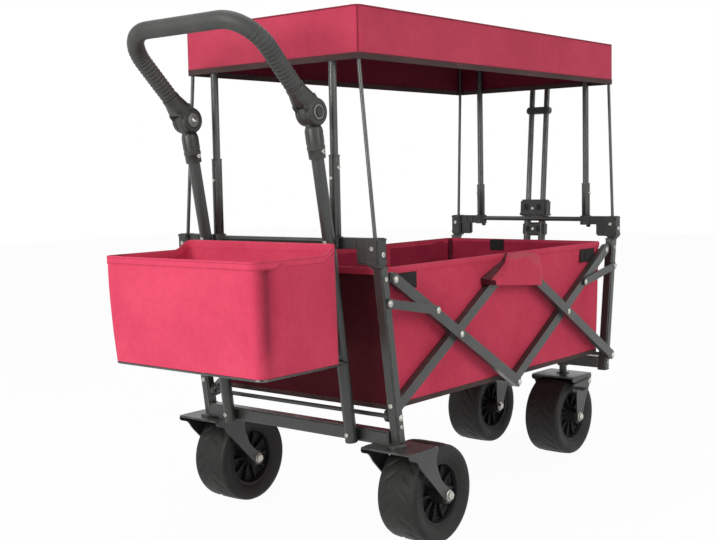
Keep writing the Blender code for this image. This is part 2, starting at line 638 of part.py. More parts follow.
def make_corner_clamps():
    """Plastic clamps on the post tops, and the top rails with the sleeves that the clamps hold."""
    arm_z = CLAMP_TOP_Z - CLAMP_ARM_HEIGHT / 2.0 - 0.0005
    sleeve_bottom = arm_z - CLAMP_ARM_HEIGHT / 2.0
    for end, sign, post_y, sleeve_top, body in (
            ("rear", -1.0, REAR_POST_Y, REAR_SLEEVE_TOP_Z, "rear_frame"),
            ("front", 1.0, FRONT_POST_Y, FRONT_SLEEVE_TOP_Z, "front_frame")):
        x = sign * TOP_BAR_X
        rail = cylinder(end + "_top_rail", TOP_BAR_RADIUS, 2.0 * SLEEVE_Y, (x, 0.0, TOP_BAR_Z), "Y", body,
                        "frame", 12)
        sleeves = []
        for side, word in SIDES:
            middle = (x, side * SLEEVE_Y, (sleeve_top + sleeve_bottom) / 2.0)
            length = sleeve_top - sleeve_bottom
            sleeves.append(cylinder(f"{end}_sleeve_{word}", SLEEVE_RADIUS, length, middle, "Z", body, None,
                                    12))
        weld(rail, sleeves)
        for side, word in SIDES:
            middle = (x, side * SLEEVE_Y, (sleeve_top + sleeve_bottom) / 2.0)
            bore = cylinder(f"{end}_sleeve_bore_{word}", SLEEVE_RADIUS - SLEEVE_WALL, 0.5, middle, "Z", body,
                            None, 12)
            boolean(rail, as_cutter(bore))
            name = f"{end}_corner_clamp_{word}"
            y = side * post_y
            clamp = box(name, (CLAMP_SIZE, CLAMP_SIZE, CLAMP_HEIGHT),
                        (x, y, (CLAMP_TOP_Z + CLAMP_BOTTOM_Z) / 2.0), body, "plastic", bevel=0.002)
            arm = box(name + "_arm", (CLAMP_ARM_DEPTH, post_y - SLEEVE_Y, CLAMP_ARM_HEIGHT),
                      (x, side * (post_y + SLEEVE_Y) / 2.0, arm_z), body, None)
            ring = cylinder(name + "_ring", CLAMP_RING_RADIUS, CLAMP_ARM_HEIGHT + 0.002,
                            (x, side * SLEEVE_Y, arm_z), "Z", body, None, 16)
            weld(clamp, [arm, ring])
            hole = cylinder(name + "_hole", SLEEVE_RADIUS + CLEARANCE, 0.1, (x, side * SLEEVE_Y, arm_z), "Z",
                            body, None, 12)
            slot_top = TOP_BAR_Z + TOP_BAR_RADIUS + CLEARANCE
            rail_slot = box(name + "_rail_slot", (2.0 * (TOP_BAR_RADIUS + CLEARANCE), SLEEVE_Y - 0.09, 0.1),
                            (x, side * (SLEEVE_Y + 0.09) / 2.0, slot_top - 0.05), body, None)
            slot_width = 2.0 * (ROD_RADIUS + 2.0 * CLEARANCE)
            socket = box(name + "_socket", (slot_width, slot_width + 0.006, ROD_SOCKET_DEPTH + 0.01),
                         (x, y, CLAMP_TOP_Z + 0.005 - ROD_SOCKET_DEPTH / 2.0), body, None)
            for tool in (hole, rail_slot, socket):
                boolean(clamp, as_cutter(tool))


def make_canopy():
    """A hoop at each end, made of a bent wire clipped to two posts, and the fabric roof with its valance."""
    wire_z = CANOPY_EAVE_Z - CANOPY_CLOTH - ROD_RADIUS - 2.0 * CLEARANCE
    wire_y = CANOPY_HALF_WIDTH - CANOPY_CLOTH - ROD_RADIUS - 4.0 * CLEARANCE
    for end, sign, post_y, sleeve_top, body in (
            ("rear", -1.0, REAR_POST_Y, REAR_SLEEVE_TOP_Z, "canopy_rear"),
            ("front", 1.0, FRONT_POST_Y, FRONT_SLEEVE_TOP_Z, "canopy_front")):
        x = sign * TOP_BAR_X
        foot = CLAMP_TOP_Z - ROD_SOCKET_DEPTH + CLEARANCE
        knee = CANOPY_BOTTOM_Z - 0.008
        corners = [(x, -post_y, foot), (x, -wire_y, knee), (x, -wire_y, wire_z), (x, wire_y, wire_z),
                   (x, wire_y, knee), (x, post_y, foot)]
        path = rounded_path(corners, 0.012, 3)
        hoop = to_mesh_object(tube(f"canopy_hoop_{end}", path, ROD_RADIUS, body, "frame", 2))
        smooth(hoop.data)
        low = sleeve_top - CANOPY_POST_INSERT
        posts = [cylinder(f"{end}_canopy_post_{word}", CANOPY_POST_RADIUS, wire_z - low,
                          (x, side * SLEEVE_Y, (wire_z + low) / 2.0), "Z", body, None, 12)
                 for side, word in SIDES]
        clip_z = wire_z + ROD_RADIUS - CANOPY_CLIP_HEIGHT / 2.0
        clips = [box(f"{end}_canopy_clip_{word}", (2.0 * CANOPY_POST_RADIUS, CANOPY_CLIP_WIDTH,
                                                   CANOPY_CLIP_HEIGHT),
                     (x, side * SLEEVE_Y, clip_z), body, None)
                 for side, word in SIDES]
        weld(hoop, posts + clips)
    mesh = bpy.data.meshes.new("canopy_fabric")
    shape = bmesh.new()
    height = CANOPY_EAVE_Z - CANOPY_BOTTOM_Z
    bmesh.ops.create_cube(shape, size=1.0, matrix=Matrix.Diagonal(
        (2.0 * CANOPY_HALF_LENGTH, 2.0 * CANOPY_HALF_WIDTH, height, 1.0)))
    open_face = min(shape.faces, key=lambda face: face.calc_center_median().z)
    bmesh.ops.delete(shape, geom=[open_face], context="FACES_ONLY")
    roof = max(shape.faces, key=lambda face: face.calc_center_median().z)
    bmesh.ops.subdivide_edges(shape, edges=list(roof.edges), cuts=5, use_grid_fill=True)
    for vertex in shape.verts:
        if vertex.co.z > height / 2.0 - 0.0001:
            along = 1.0 - (vertex.co.x / CANOPY_HALF_LENGTH) ** 2
            across = 1.0 - (vertex.co.y / CANOPY_HALF_WIDTH) ** 2
            vertex.co.z += CANOPY_CROWN * along * across
    bmesh.ops.recalc_face_normals(shape, faces=shape.faces)
    shape.to_mesh(mesh)
    shape.free()
    canopy = add_object("canopy_fabric", mesh, "canopy_rear", "fabric",
                        (0.0, 0.0, (CANOPY_EAVE_Z + CANOPY_BOTTOM_Z) / 2.0))
    shell(canopy, CANOPY_CLOTH)


def shell(thing, thickness):
    """Give an open surface its cloth thickness, inwards."""
    step = thing.modifiers.new("cloth", "SOLIDIFY")
    step.thickness = thickness
    step.offset = -1.0
    step.use_even_offset = True
    return thing


def make_handle_legs():
    """Two tubes from the lower beam up to the knuckles, and the plastic sockets on their tops."""
    lean = math.atan2(KNUCKLE_X - LEG_X_AT_TOP_BAR, KNUCKLE_Z - TOP_BAR_Z)
    along = Vector((math.sin(lean), 0.0, -math.cos(lean)))
    leg_top = KNUCKLE_Z - KNUCKLE_RADIUS - 0.004
    bore_top = KNUCKLE_Z - leg_top - CLEARANCE
    relief_width = 0.03
    for side, word in SIDES:
        y = side * LEG_Y
        points = [(-leg_x(z), y, z) for z in (LEG_BOTTOM_Z, TOP_BAR_Z, leg_top)]
        tube("handle_leg_" + word, points, LEG_RADIUS, "rear_frame", "frame", 4)
        place = Vector((-KNUCKLE_X, y, KNUCKLE_Z))
        socket = cylinder("knuckle_socket_" + word, KNUCKLE_RADIUS, KNUCKLE_SOCKET_THICKNESS, place, "Y",
                          "rear_frame", "plastic", 20)
        middle = place + along * (KNUCKLE_SLEEVE_LENGTH / 2.0 + 0.010)
        sleeve = cylinder("knuckle_sleeve_" + word, KNUCKLE_SLEEVE_RADIUS, KNUCKLE_SLEEVE_LENGTH, middle,
                          "Z", "rear_frame", None, 16)
        sleeve.rotation_euler = (0.0, -lean, 0.0)
        weld(socket, [sleeve])
        for face in (-1.0, 1.0):
            relief_y = y + face * (KNUCKLE_SOCKET_THICKNESS + relief_width) / 2.0
            relief = cylinder(f"knuckle_relief_{word}_{face}", KNUCKLE_RADIUS + 0.0012, relief_width,
                              (-KNUCKLE_X, relief_y, KNUCKLE_Z), "Y", "rear_frame", None, 20)
            boolean(socket, as_cutter(relief))
        bore = cylinder("knuckle_bore_" + word, LEG_RADIUS + CLEARANCE, 0.2, place + along * (bore_top + 0.1),
                        "Z", "rear_frame", None, 12)
        bore.rotation_euler = (0.0, -lean, 0.0)
        boolean(socket, as_cutter(bore))


def make_push_handle():
    """The bent handle tube, its foam grip, the knuckle caps and the buttons in them."""
    knuckle = Vector((-KNUCKLE_X, 0.0, KNUCKLE_Z))
    reach = Vector((-HANDLE_REACH_X, 0.0, HANDLE_REACH_Z))
    along = (reach - knuckle).normalized()
    start = knuckle + along * (KNUCKLE_RADIUS + 0.004)
    corners = [(start.x, -LEG_Y, start.z), (reach.x, -LEG_Y, reach.z), (reach.x, LEG_Y, reach.z),
               (start.x, LEG_Y, start.z)]
    tube("push_handle_tube", rounded_path(corners, HANDLE_CORNER_RADIUS, 6), HANDLE_TUBE_RADIUS,
         "push_handle", "frame", 2)
    grip_start = knuckle + along * (KNUCKLE_RADIUS + HANDLE_BARE_LENGTH)
    corners[0] = (grip_start.x, -LEG_Y, grip_start.z)
    corners[3] = (grip_start.x, LEG_Y, grip_start.z)
    foam = to_mesh_object(tube("push_handle_foam", rounded_path(corners, HANDLE_CORNER_RADIUS, 6),
                               HANDLE_FOAM_RADIUS, "push_handle", "foam", 2, caps=False))
    shell(foam, (HANDLE_FOAM_RADIUS - HANDLE_TUBE_RADIUS - CLEARANCE) * math.cos(math.pi / 8.0))
    smooth(foam.data, 60.0)
    turn = math.atan2(along.x, along.z)
    cap_y = KNUCKLE_SOCKET_THICKNESS / 2.0 + CLEARANCE + KNUCKLE_CAP_THICKNESS / 2.0
    neck_place = knuckle + along * (KNUCKLE_RADIUS + 0.015)
    for side, word in SIDES:
        y = side * LEG_Y
        outer_y = y + side * cap_y
        caps = cylinder("knuckle_caps_" + word, KNUCKLE_RADIUS, KNUCKLE_CAP_THICKNESS,
                        (-KNUCKLE_X, outer_y, KNUCKLE_Z), "Y", "push_handle", "plastic", 20)
        inner = cylinder("knuckle_cap_inner_" + word, KNUCKLE_RADIUS, KNUCKLE_CAP_THICKNESS,
                         (-KNUCKLE_X, y - side * cap_y, KNUCKLE_Z), "Y", "push_handle", None, 20)
        neck = box("knuckle_neck_" + word, (0.031, 2.0 * cap_y + KNUCKLE_CAP_THICKNESS, 0.036),
                   (neck_place.x, y, neck_place.z), "push_handle", None, (0.0, turn, 0.0), 0.003)
        weld(caps, [neck, inner])
        room = cylinder("knuckle_room_" + word, KNUCKLE_RADIUS + 0.0012,
                        KNUCKLE_SOCKET_THICKNESS + 2.0 * CLEARANCE, (-KNUCKLE_X, y, KNUCKLE_Z), "Y",
                        "push_handle", None, 20)
        tube_room = cylinder("handle_tube_room_" + word, HANDLE_TUBE_RADIUS + 2.0 * CLEARANCE, 0.2,
                             Vector((start.x, y, start.z)) + along * (0.1 - CLEARANCE), "Z", "push_handle",
                             None, 16)
        tube_room.rotation_euler = (0.0, turn, 0.0)
        button_room = cylinder("button_room_" + word, BUTTON_RADIUS + CLEARANCE,
                               KNUCKLE_CAP_THICKNESS + 0.002, (-KNUCKLE_X, outer_y, KNUCKLE_Z), "Y",
                               "push_handle", None, 16)
        for tool in (room, tube_room, button_room):
            boolean(caps, as_cutter(tool))
        face = LEG_Y + cap_y + KNUCKLE_CAP_THICKNESS / 2.0
        back = LEG_Y + KNUCKLE_SOCKET_THICKNESS / 2.0 + 2.0 * CLEARANCE + BUTTON_TRAVEL
        cylinder("knuckle_button_" + word, BUTTON_RADIUS, face + BUTTON_PROUD - back,
                 (-KNUCKLE_X, side * (face + BUTTON_PROUD + back) / 2.0, KNUCKLE_Z), "Y",
                 "button_" + word, "plastic", 16)


def make_pull_handle():
    """Outer tubes on a pivot bracket, a collar, telescoping inner rods, a hand grip and its button."""
    bracket_back = BEAM_X + BEAM_DEPTH / 2.0 + CLEARANCE
    ear_reach = PULL_PIVOT_X + 0.009
    ear_y = EAR_INNER_Y + EAR_THICKNESS / 2.0 - 0.0002
    bracket = box("pull_handle_bracket", (EAR_THICKNESS, 2.0 * (EAR_INNER_Y + EAR_THICKNESS), BEAM_HEIGHT),
                  (bracket_back + EAR_THICKNESS / 2.0, 0.0, FRONT_BEAM_Z), "front_frame", "frame")
    ears = [box("ear_" + word, (ear_reach - bracket_back - 0.001, EAR_THICKNESS, BEAM_HEIGHT - 0.002),
                ((ear_reach + bracket_back + 0.001) / 2.0, side * ear_y, PULL_PIVOT_Z), "front_frame", None)
            for side, word in SIDES]
    weld(bracket, ears)
    pin_hole = cylinder("ear_hole", PULL_PIN_RADIUS + CLEARANCE, 0.2, (PULL_PIVOT_X, 0.0, PULL_PIVOT_Z), "Y",
                        "front_frame", None, 10)
    boolean(bracket, as_cutter(pin_hole))
    turned("pull_pivot_pin", headed_rod(PULL_PIN_RADIUS, EAR_INNER_Y + EAR_THICKNESS + CLEARANCE),
           "front_frame", "steel", (PULL_PIVOT_X, 0.0, PULL_PIVOT_Z), "Y", 10)
    rod_y = PULL_TUBE_GAP / 2.0

    def upright(name, radius, low, high, y, body, segments=12):
        """A round bar along the handle, between two heights from the pivot."""
        base = PULL_LOWER_LENGTH if body == "pull_inner" else 0.0
        return cylinder(name, radius, high - low, (0.0, y, (low + high) / 2.0 - base), "Z", body, None,
                        segments, local=True)

    stem = upright("pull_outer_tubes", PULL_TUBE_RADIUS, -PULL_TUBE_FOOT, PULL_LOWER_LENGTH, rod_y,
                   "pull_handle")
    stem.data.materials.append(materials["frame"])
    foot = box("pull_foot_brace", (0.010, PULL_TUBE_GAP, 0.012), (0.0, 0.0, PULL_FOOT_BRACE_HEIGHT),
               "pull_handle", None, local=True)
    guide_x = PULL_GUIDE_DEPTH / 2.0 - PULL_TUBE_RADIUS + CLEARANCE
    guide_z = PULL_LOWER_LENGTH - PULL_GUIDE_DROP - PULL_GUIDE_LENGTH / 2.0
    guide = box("pull_guide", (PULL_GUIDE_DEPTH, PULL_GUIDE_WIDTH, PULL_GUIDE_LENGTH),
                (guide_x, 0.0, guide_z), "pull_handle", None, bevel=0.002, local=True)
    weld(stem, [foot, guide, upright("pull_outer_right", PULL_TUBE_RADIUS, -PULL_TUBE_FOOT, PULL_LOWER_LENGTH,
                                     -rod_y, "pull_handle")])
    collar_z = PULL_LOWER_LENGTH + PULL_COLLAR_LENGTH / 2.0 + CLEARANCE
    collar = box("pull_collar", (PULL_COLLAR_DEPTH, PULL_COLLAR_WIDTH, PULL_COLLAR_LENGTH),
                 (0.0, 0.0, collar_z), "pull_handle", "plastic", bevel=0.003, local=True)
    rods = upright("pull_inner_rods", PULL_INNER_RADIUS, PULL_LOWER_LENGTH - PULL_ROD_OVERLAP,
                   PULL_GRIP_HEIGHT - PULL_GRIP_RADIUS - CLEARANCE, rod_y, "pull_inner")
    rods.data.materials.append(materials["frame"])
    brace_z = PULL_BRACE_HEIGHT - PULL_LOWER_LENGTH
    brace = box("pull_brace", (PULL_BRACE_DEPTH, PULL_TUBE_GAP + 2.0 * PULL_INNER_RADIUS + 0.008,
                               PULL_BRACE_LENGTH),
                (0.0, 0.0, brace_z), "pull_inner", None, bevel=0.002, local=True)
    weld(rods, [brace, upright("pull_rod_right", PULL_INNER_RADIUS, PULL_LOWER_LENGTH - PULL_ROD_OVERLAP,
                               PULL_GRIP_HEIGHT - PULL_GRIP_RADIUS - CLEARANCE, -rod_y, "pull_inner")])
    button_hole = cylinder("brace_button_hole", RELEASE_RADIUS + CLEARANCE, 0.02, (0.010, 0.0, brace_z), "X",
                           "pull_inner", None, 12, local=True)
    boolean(rods, as_cutter(button_hole))
    for side, word in SIDES:
        y = side * rod_y
        bore = upright("pull_tube_bore_" + word, PULL_TUBE_RADIUS - PULL_TUBE_WALL, -0.05, 0.5, y,
                       "pull_handle")
        boolean(stem, as_cutter(bore))
        hole = upright("collar_hole_" + word, PULL_INNER_RADIUS + CLEARANCE, 0.2, 0.5, y, "pull_handle")
        boolean(collar, as_cutter(hole))
    pivot_bore = cylinder("pull_pivot_bore", PULL_PIN_RADIUS + CLEARANCE, 0.2, (0.0, 0.0, 0.0), "Y",
                          "pull_handle", None, 10, local=True)
    boolean(stem, as_cutter(pivot_bore))
    grip = cylinder("pull_grip", PULL_GRIP_RADIUS, PULL_COLLAR_WIDTH + 0.030,
                    (0.0, 0.0, PULL_GRIP_HEIGHT - PULL_LOWER_LENGTH), "Y", "pull_inner", "plastic", 16,
                    local=True)
    step = grip.modifiers.new("ends", "BEVEL")
    step.width = 0.004
    step.segments = 1
    button_length = 0.009
    cylinder("pull_release_button", RELEASE_RADIUS, button_length, (0.013 - button_length / 2.0, 0.0, 0.0),
             "X", "pull_button", "steel", 12, local=True)


def wheel(name_end, body, x, y):
    """A tyre with a crowned tread and the hub inside it."""
    half = WHEEL_WIDTH / 2.0
    seat = HUB_RADIUS + CLEARANCE / math.cos(math.pi / WHEEL_SEGMENTS)
    hub_half = HUB_WIDTH / 2.0
    tread = WHEEL_RADIUS
    tyre = [(seat, hub_half), (seat + 0.006, half - 0.003), (tread - TYRE_SHOULDER, half),
            (tread - 0.005, half - 0.006), (tread, half - 0.020), (tread, -half + 0.020),
            (tread - 0.005, -half + 0.006), (tread - TYRE_SHOULDER, -half), (seat + 0.006, -half + 0.003),
            (seat, -hub_half)]
    start = math.pi / WHEEL_SEGMENTS
    turned("tyre_" + name_end, tyre, body, "tyre", (x, y, AXLE_Z), "Y", WHEEL_SEGMENTS, start)
    bore = AXLE_RADIUS + AXLE_CLEARANCE
    web = hub_half - HUB_RECESS
    boss = FORK_INNER_Y - CLEARANCE
    hub = [(bore, boss), (HUB_BOSS_RADIUS, boss), (HUB_BOSS_RADIUS + 0.003, web), (HUB_RADIUS - 0.008, web),
           (HUB_RADIUS - 0.005, hub_half), (HUB_RADIUS, hub_half), (HUB_RADIUS, -hub_half),
           (HUB_RADIUS - 0.005, -hub_half), (HUB_RADIUS - 0.008, -web), (HUB_BOSS_RADIUS + 0.003, -web),
           (HUB_BOSS_RADIUS, -boss), (bore, -boss)]
    turned("hub_" + name_end, hub, body, "plastic", (x, y, AXLE_Z), "Y", WHEEL_SEGMENTS, start)


def axle_profile():
    """A bolt through the fork, with its head at one end and its nut at the other."""
    grip = FORK_OUTER_Y + CLEARANCE
    head = grip + AXLE_HEAD_HEIGHT
    return [(0.0, head), (AXLE_HEAD_RADIUS * 0.8, head), (AXLE_HEAD_RADIUS, grip), (AXLE_RADIUS, grip),
            (AXLE_RADIUS, -grip), (AXLE_HEAD_RADIUS, -grip), (AXLE_HEAD_RADIUS, -head), (0.0, -head)]


def fork(name, body, x, y, axle_x, back_x, front_x, neck):
    """A stamped fork: two tapered legs down to the axle and a crown plate over the tyre."""
    eye = FORK_EYE_RADIUS
    lip = FORK_LIP
    neck_back = x - neck
    outline = [(back_x, CROWN_TOP_Z), (back_x, CROWN_TOP_Z - lip)]
    waist_back = min(neck_back, axle_x - eye) if axle_x < x else neck_back
    outline.append((waist_back, CROWN_TOP_Z - lip - FORK_NECK_DROP))
    start = math.radians(200.0)
    for a in steps_round(7, start, math.radians(170.0), closed=False):
        outline.append((axle_x + eye * math.cos(a), AXLE_Z + eye * math.sin(a)))
    outline.append((front_x, CROWN_TOP_Z - lip))
    outline.append((front_x, CROWN_TOP_Z))
    hole = (axle_x, AXLE_Z, AXLE_RADIUS + AXLE_CLEARANCE)
    legs = []
    for side in (-1.0, 1.0):
        leg = plate(f"{name}_leg_{side}", outline, [hole], FORK_PLATE,
                    y + side * (FORK_INNER_Y + FORK_PLATE / 2.0), body, "frame")
        legs.append(to_mesh_object(leg))
    crown = box(name + "_crown", (front_x - back_x, 2.0 * FORK_OUTER_Y - 0.002, CROWN_PLATE),
                ((front_x + back_x) / 2.0, y, CROWN_TOP_Z - CROWN_PLATE / 2.0 - 0.00005), body, None)
    main = join_meshes(legs[0], legs[1:])
    main.name = name
    boolean(main, as_cutter(crown), "UNION")
    return main


def make_wheels():
    """Two swivel casters under the rear posts and two fixed forks under the front beam."""
    front_stem_top = FRONT_BEAM_Z - BEAM_HEIGHT / 2.0 - CLEARANCE
    axle_x = -CASTER_X + CASTER_TRAIL
    for side, word in SIDES:
        y = side * CASTER_Y
        fork("caster_fork_" + word, "caster_" + word, -CASTER_X, y, axle_x, -CASTER_X - CASTER_CROWN_BACK,
             -CASTER_X + CASTER_CROWN_FRONT, FORK_NECK_UPRIGHT)
        turned("caster_axle_" + word, axle_profile(), "caster_" + word, "steel", (axle_x, y, AXLE_Z), "Y", 12)
        wheel("rear_" + word, "rear_wheel_" + word, axle_x, y)
        y = side * FRONT_WHEEL_Y
        main = fork("front_fork_" + word, "front_frame", BEAM_X, y, FRONT_WHEEL_X, BEAM_X - FRONT_CROWN_BACK,
                    BEAM_X + FRONT_CROWN_FRONT, FORK_NECK_TRAILED)
        stem_low = CROWN_TOP_Z - WELD
        stem = cylinder("front_stem_" + word, FRONT_STEM_RADIUS, front_stem_top - stem_low,
                        (BEAM_X, y, (front_stem_top + stem_low) / 2.0), "Z", "front_frame", None, 12)
        plate_face = FRONT_WHEEL_Y + FORK_OUTER_Y
        seat = plate_face + BRAKE_PLATE + 2.0 * CLEARANCE
        brake_stud = add_stud("brake_stud_" + word, BRAKE_PIVOT_X, BRAKE_PIVOT_Z, plate_face - WELD,
                              seat + RIVET_HEAD_HEIGHT, seat, side, "front_frame")
        weld(main, [stem, brake_stud])
        turned("front_axle_" + word, axle_profile(), "front_frame", "steel", (FRONT_WHEEL_X, y, AXLE_Z), "Y",
               12)
        wheel("front_" + word, "front_wheel_" + word, FRONT_WHEEL_X, y)


def make_brakes():
    """A foot lever on the outside of each front fork, with a pedal that stands out."""
    for side, word in ((1.0, "left"), (-1.0, "right")):
        y = side * (FRONT_WHEEL_Y + FORK_OUTER_Y + CLEARANCE + BRAKE_PLATE / 2.0)
        outline = bar_outline((BRAKE_PIVOT_X, BRAKE_PIVOT_Z), (BRAKE_TOE_X, BRAKE_TOE_Z), 0.016)
        hole = (BRAKE_PIVOT_X, BRAKE_PIVOT_Z, RIVET_RADIUS + CLEARANCE)
        lever = to_mesh_object(plate("brake_lever_" + word, outline, [hole], BRAKE_PLATE, y,
                                     "brake_" + word, "frame"))
        pedal = box("pedal_" + word, (0.020, BRAKE_PEDAL_LENGTH, 0.004),
                    (BRAKE_TOE_X, y + side * (BRAKE_PEDAL_LENGTH - BRAKE_PLATE) / 2.0, BRAKE_TOE_Z),
                    "brake_" + word, None)
        boolean(lever, as_cutter(pedal), "UNION")


def open_box(name, top, bottom, low, high, half_width, body, finish, cloth):
    """An open-topped fabric box: top and bottom give its two ends along X."""
    mesh = bpy.data.meshes.new(name)
    shape = bmesh.new()
    bmesh.ops.create_cube(shape, size=2.0)
    lid = max(shape.faces, key=lambda face: face.calc_center_median().z)
    bmesh.ops.delete(shape, geom=[lid], context="FACES_ONLY")
    for vertex in shape.verts:
        ends = top if vertex.co.z > 0.0 else bottom
        vertex.co.x = ends[1] if vertex.co.x > 0.0 else ends[0]
        vertex.co.y = half_width if vertex.co.y > 0.0 else -half_width
        vertex.co.z = high if vertex.co.z > 0.0 else low
    bmesh.ops.recalc_face_normals(shape, faces=shape.faces)
    floor = min(shape.faces, key=lambda face: face.calc_center_median().z)
    if floor.normal.z > 0.0:
        bmesh.ops.reverse_faces(shape, faces=shape.faces)
    shape.to_mesh(mesh)
    shape.free()
    thing = add_object(name, mesh, body, finish)
    return shell(thing, cloth)


def make_tub():
    """The fabric tub with a flap over each top hub, and the stiff boards on its floor."""
    tub = open_box("tub_fabric", (-TUB_HALF_LENGTH_TOP, TUB_HALF_LENGTH_TOP),
                   (-TUB_HALF_LENGTH_BOTTOM, TUB_HALF_LENGTH_BOTTOM), TUB_BOTTOM_Z, TUB_TOP_Z,
                   TUB_HALF_WIDTH, "rear_frame", "fabric", TUB_CLOTH)
    flap_y = OUTER_BAR_Y + BAR_THICKNESS / 2.0 + RIVET_HEAD_HEIGHT + 4.0 * CLEARANCE
    wall_in = TUB_HALF_WIDTH - TUB_CLOTH / 2.0
    top = TUB_TOP_Z - 0.0004
    for side, word in SIDES:
        strip = box("flap_top_" + word, (2.0 * FLAP_HALF_LENGTH, flap_y + FLAP_CLOTH - wall_in, FLAP_CLOTH),
                    (0.0, side * (flap_y + FLAP_CLOTH + wall_in) / 2.0, top - FLAP_CLOTH / 2.0),
                    "rear_frame", None)
        skirt = box("flap_skirt_" + word, (2.0 * FLAP_HALF_LENGTH, FLAP_CLOTH, top - FLAP_BOTTOM_Z - 0.0002),
                    (0.0, side * (flap_y + FLAP_CLOTH / 2.0 - 0.0001), (top + FLAP_BOTTOM_Z) / 2.0 - 0.0003),
                    "rear_frame", None)
        weld(tub, [strip, skirt])
    floor = TUB_BOTTOM_Z + TUB_CLOTH + CLEARANCE
    length = 2.0 * (TUB_HALF_LENGTH_BOTTOM - BOARD_MARGIN)
    width = 2.0 * (TUB_HALF_WIDTH - BOARD_MARGIN)
    mat = box("floor_mat", (length, width, BOARD_THICKNESS), (0.0, 0.0, floor + BOARD_THICKNESS / 2.0),
              "rear_frame", "board")
    each = length / BOARD_COUNT
    for index in range(1, BOARD_COUNT):
        crease = box(f"mat_crease_{index}", (BOARD_SEAM, width + 0.01, BOARD_THICKNESS),
                     (-length / 2.0 + each * index, 0.0, floor + BOARD_THICKNESS * 0.8), "rear_frame", None)
        boolean(mat, as_cutter(crease))


def make_basket():
    """The tail basket that hangs on the handle legs, and the wire along its lower edge."""
    wall_top = BASKET_TOP_Z + BASKET_WALL_RISE
    back_top = -leg_x(wall_top) - LEG_RADIUS - 2.0 * CLEARANCE
    back_bottom = back_top + BASKET_WALL_LEAN
    basket = open_box("basket_fabric", (-BASKET_FRONT_TOP_X, back_top), (-BASKET_FRONT_BOTTOM_X, back_bottom),
                      BASKET_BOTTOM_Z, BASKET_TOP_Z, BASKET_HALF_WIDTH, "rear_frame", "fabric", BASKET_CLOTH)
    strip_height = BASKET_WALL_RISE + 2.0 * WELD
    strip = box("basket_wall_top", (BASKET_CLOTH, 2.0 * (BASKET_HALF_WIDTH - CLEARANCE), strip_height),
                (back_top - CLEARANCE - BASKET_CLOTH / 2.0, 0.0, wall_top - strip_height / 2.0), "rear_frame",
                None)
    weld(basket, [strip])
    z = BASKET_BOTTOM_Z - BASKET_WIRE_RADIUS - CLEARANCE
    front_x = -BASKET_FRONT_BOTTOM_X + BASKET_WIRE_RADIUS
    back_x = -leg_x(z) - LEG_RADIUS - BASKET_WIRE_RADIUS - CLEARANCE
    y = BASKET_HALF_WIDTH - BASKET_WIRE_RADIUS
    corners = [(back_x, 0.0, z), (back_x, -y, z), (front_x, -y, z), (front_x, y, z), (back_x, y, z),
               (back_x, 0.0, z)]
    loop = rounded_path(corners, 0.012, 3)[:-1]
    tube("basket_wire", loop, BASKET_WIRE_RADIUS, "rear_frame", "frame", 2, cyclic=True)


def main():
    """Build the whole wagon."""
    clear_scene()
    make_materials()
    make_bodies()
    make_scissors()
    make_posts()
    make_corner_clamps()
    make_canopy()
    make_handle_legs()
    make_push_handle()
    make_pull_handle()
    make_wheels()
    make_brakes()
    make_tub()
    make_basket()
    bpy.context.view_layer.update()


main()
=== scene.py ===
"""Dresses the folding wagon: its fabric, wheels, handles, frame finishes and the studio round it."""

from __future__ import annotations

import json
import logging
import math
from collections.abc import Callable, Iterable, Sequence
from dataclasses import dataclass, field
from enum import Enum

import bmesh
import bpy
from mathutils import Matrix, Vector, noise

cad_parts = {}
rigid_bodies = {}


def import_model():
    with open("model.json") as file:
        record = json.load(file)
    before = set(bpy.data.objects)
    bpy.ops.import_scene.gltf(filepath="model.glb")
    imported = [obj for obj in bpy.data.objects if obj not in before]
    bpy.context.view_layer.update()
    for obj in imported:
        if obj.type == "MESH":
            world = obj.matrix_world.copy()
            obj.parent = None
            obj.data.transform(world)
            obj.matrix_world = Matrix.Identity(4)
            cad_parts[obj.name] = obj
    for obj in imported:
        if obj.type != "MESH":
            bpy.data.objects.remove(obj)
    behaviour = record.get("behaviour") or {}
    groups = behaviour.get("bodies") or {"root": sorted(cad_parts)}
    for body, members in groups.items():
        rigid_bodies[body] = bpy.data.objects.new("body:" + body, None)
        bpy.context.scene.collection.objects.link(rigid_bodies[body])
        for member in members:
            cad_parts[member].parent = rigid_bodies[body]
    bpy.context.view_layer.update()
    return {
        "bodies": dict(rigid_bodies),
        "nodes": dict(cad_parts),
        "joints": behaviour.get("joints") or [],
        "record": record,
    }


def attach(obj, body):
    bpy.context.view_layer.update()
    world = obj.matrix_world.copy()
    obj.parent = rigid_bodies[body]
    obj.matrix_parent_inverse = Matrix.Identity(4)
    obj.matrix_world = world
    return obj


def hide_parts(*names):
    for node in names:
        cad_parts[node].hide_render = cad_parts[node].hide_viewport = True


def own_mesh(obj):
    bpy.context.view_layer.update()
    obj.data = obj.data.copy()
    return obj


LOG = logging.getLogger("folding_wagon")
Point = tuple[float, float, float]
SIDES = ((1.0, "left"), (-1.0, "right"))
# The wagon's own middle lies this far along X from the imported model's origin.
WAGON_MIDDLE = 0.0903485


def mix(low: float, high: float, share: float) -> float:
    """The value that lies the given share of the way from low to high."""
    return low + (high - low) * share


def ease(value: float) -> float:
    """A smooth step from 0 to 1."""
    value = min(max(value, 0.0), 1.0)
    return value * value * (3.0 - 2.0 * value)


def linear(red: int, green: int, blue: int) -> tuple[float, float, float, float]:
    """A colour as it is written for a screen, turned into the shader's linear numbers."""
    parts = [value / 255.0 for value in (red, green, blue)]
    made = [value / 12.92 if value <= 0.04045 else ((value + 0.055) / 1.055) ** 2.4 for value in parts]
    return (made[0], made[1], made[2], 1.0)


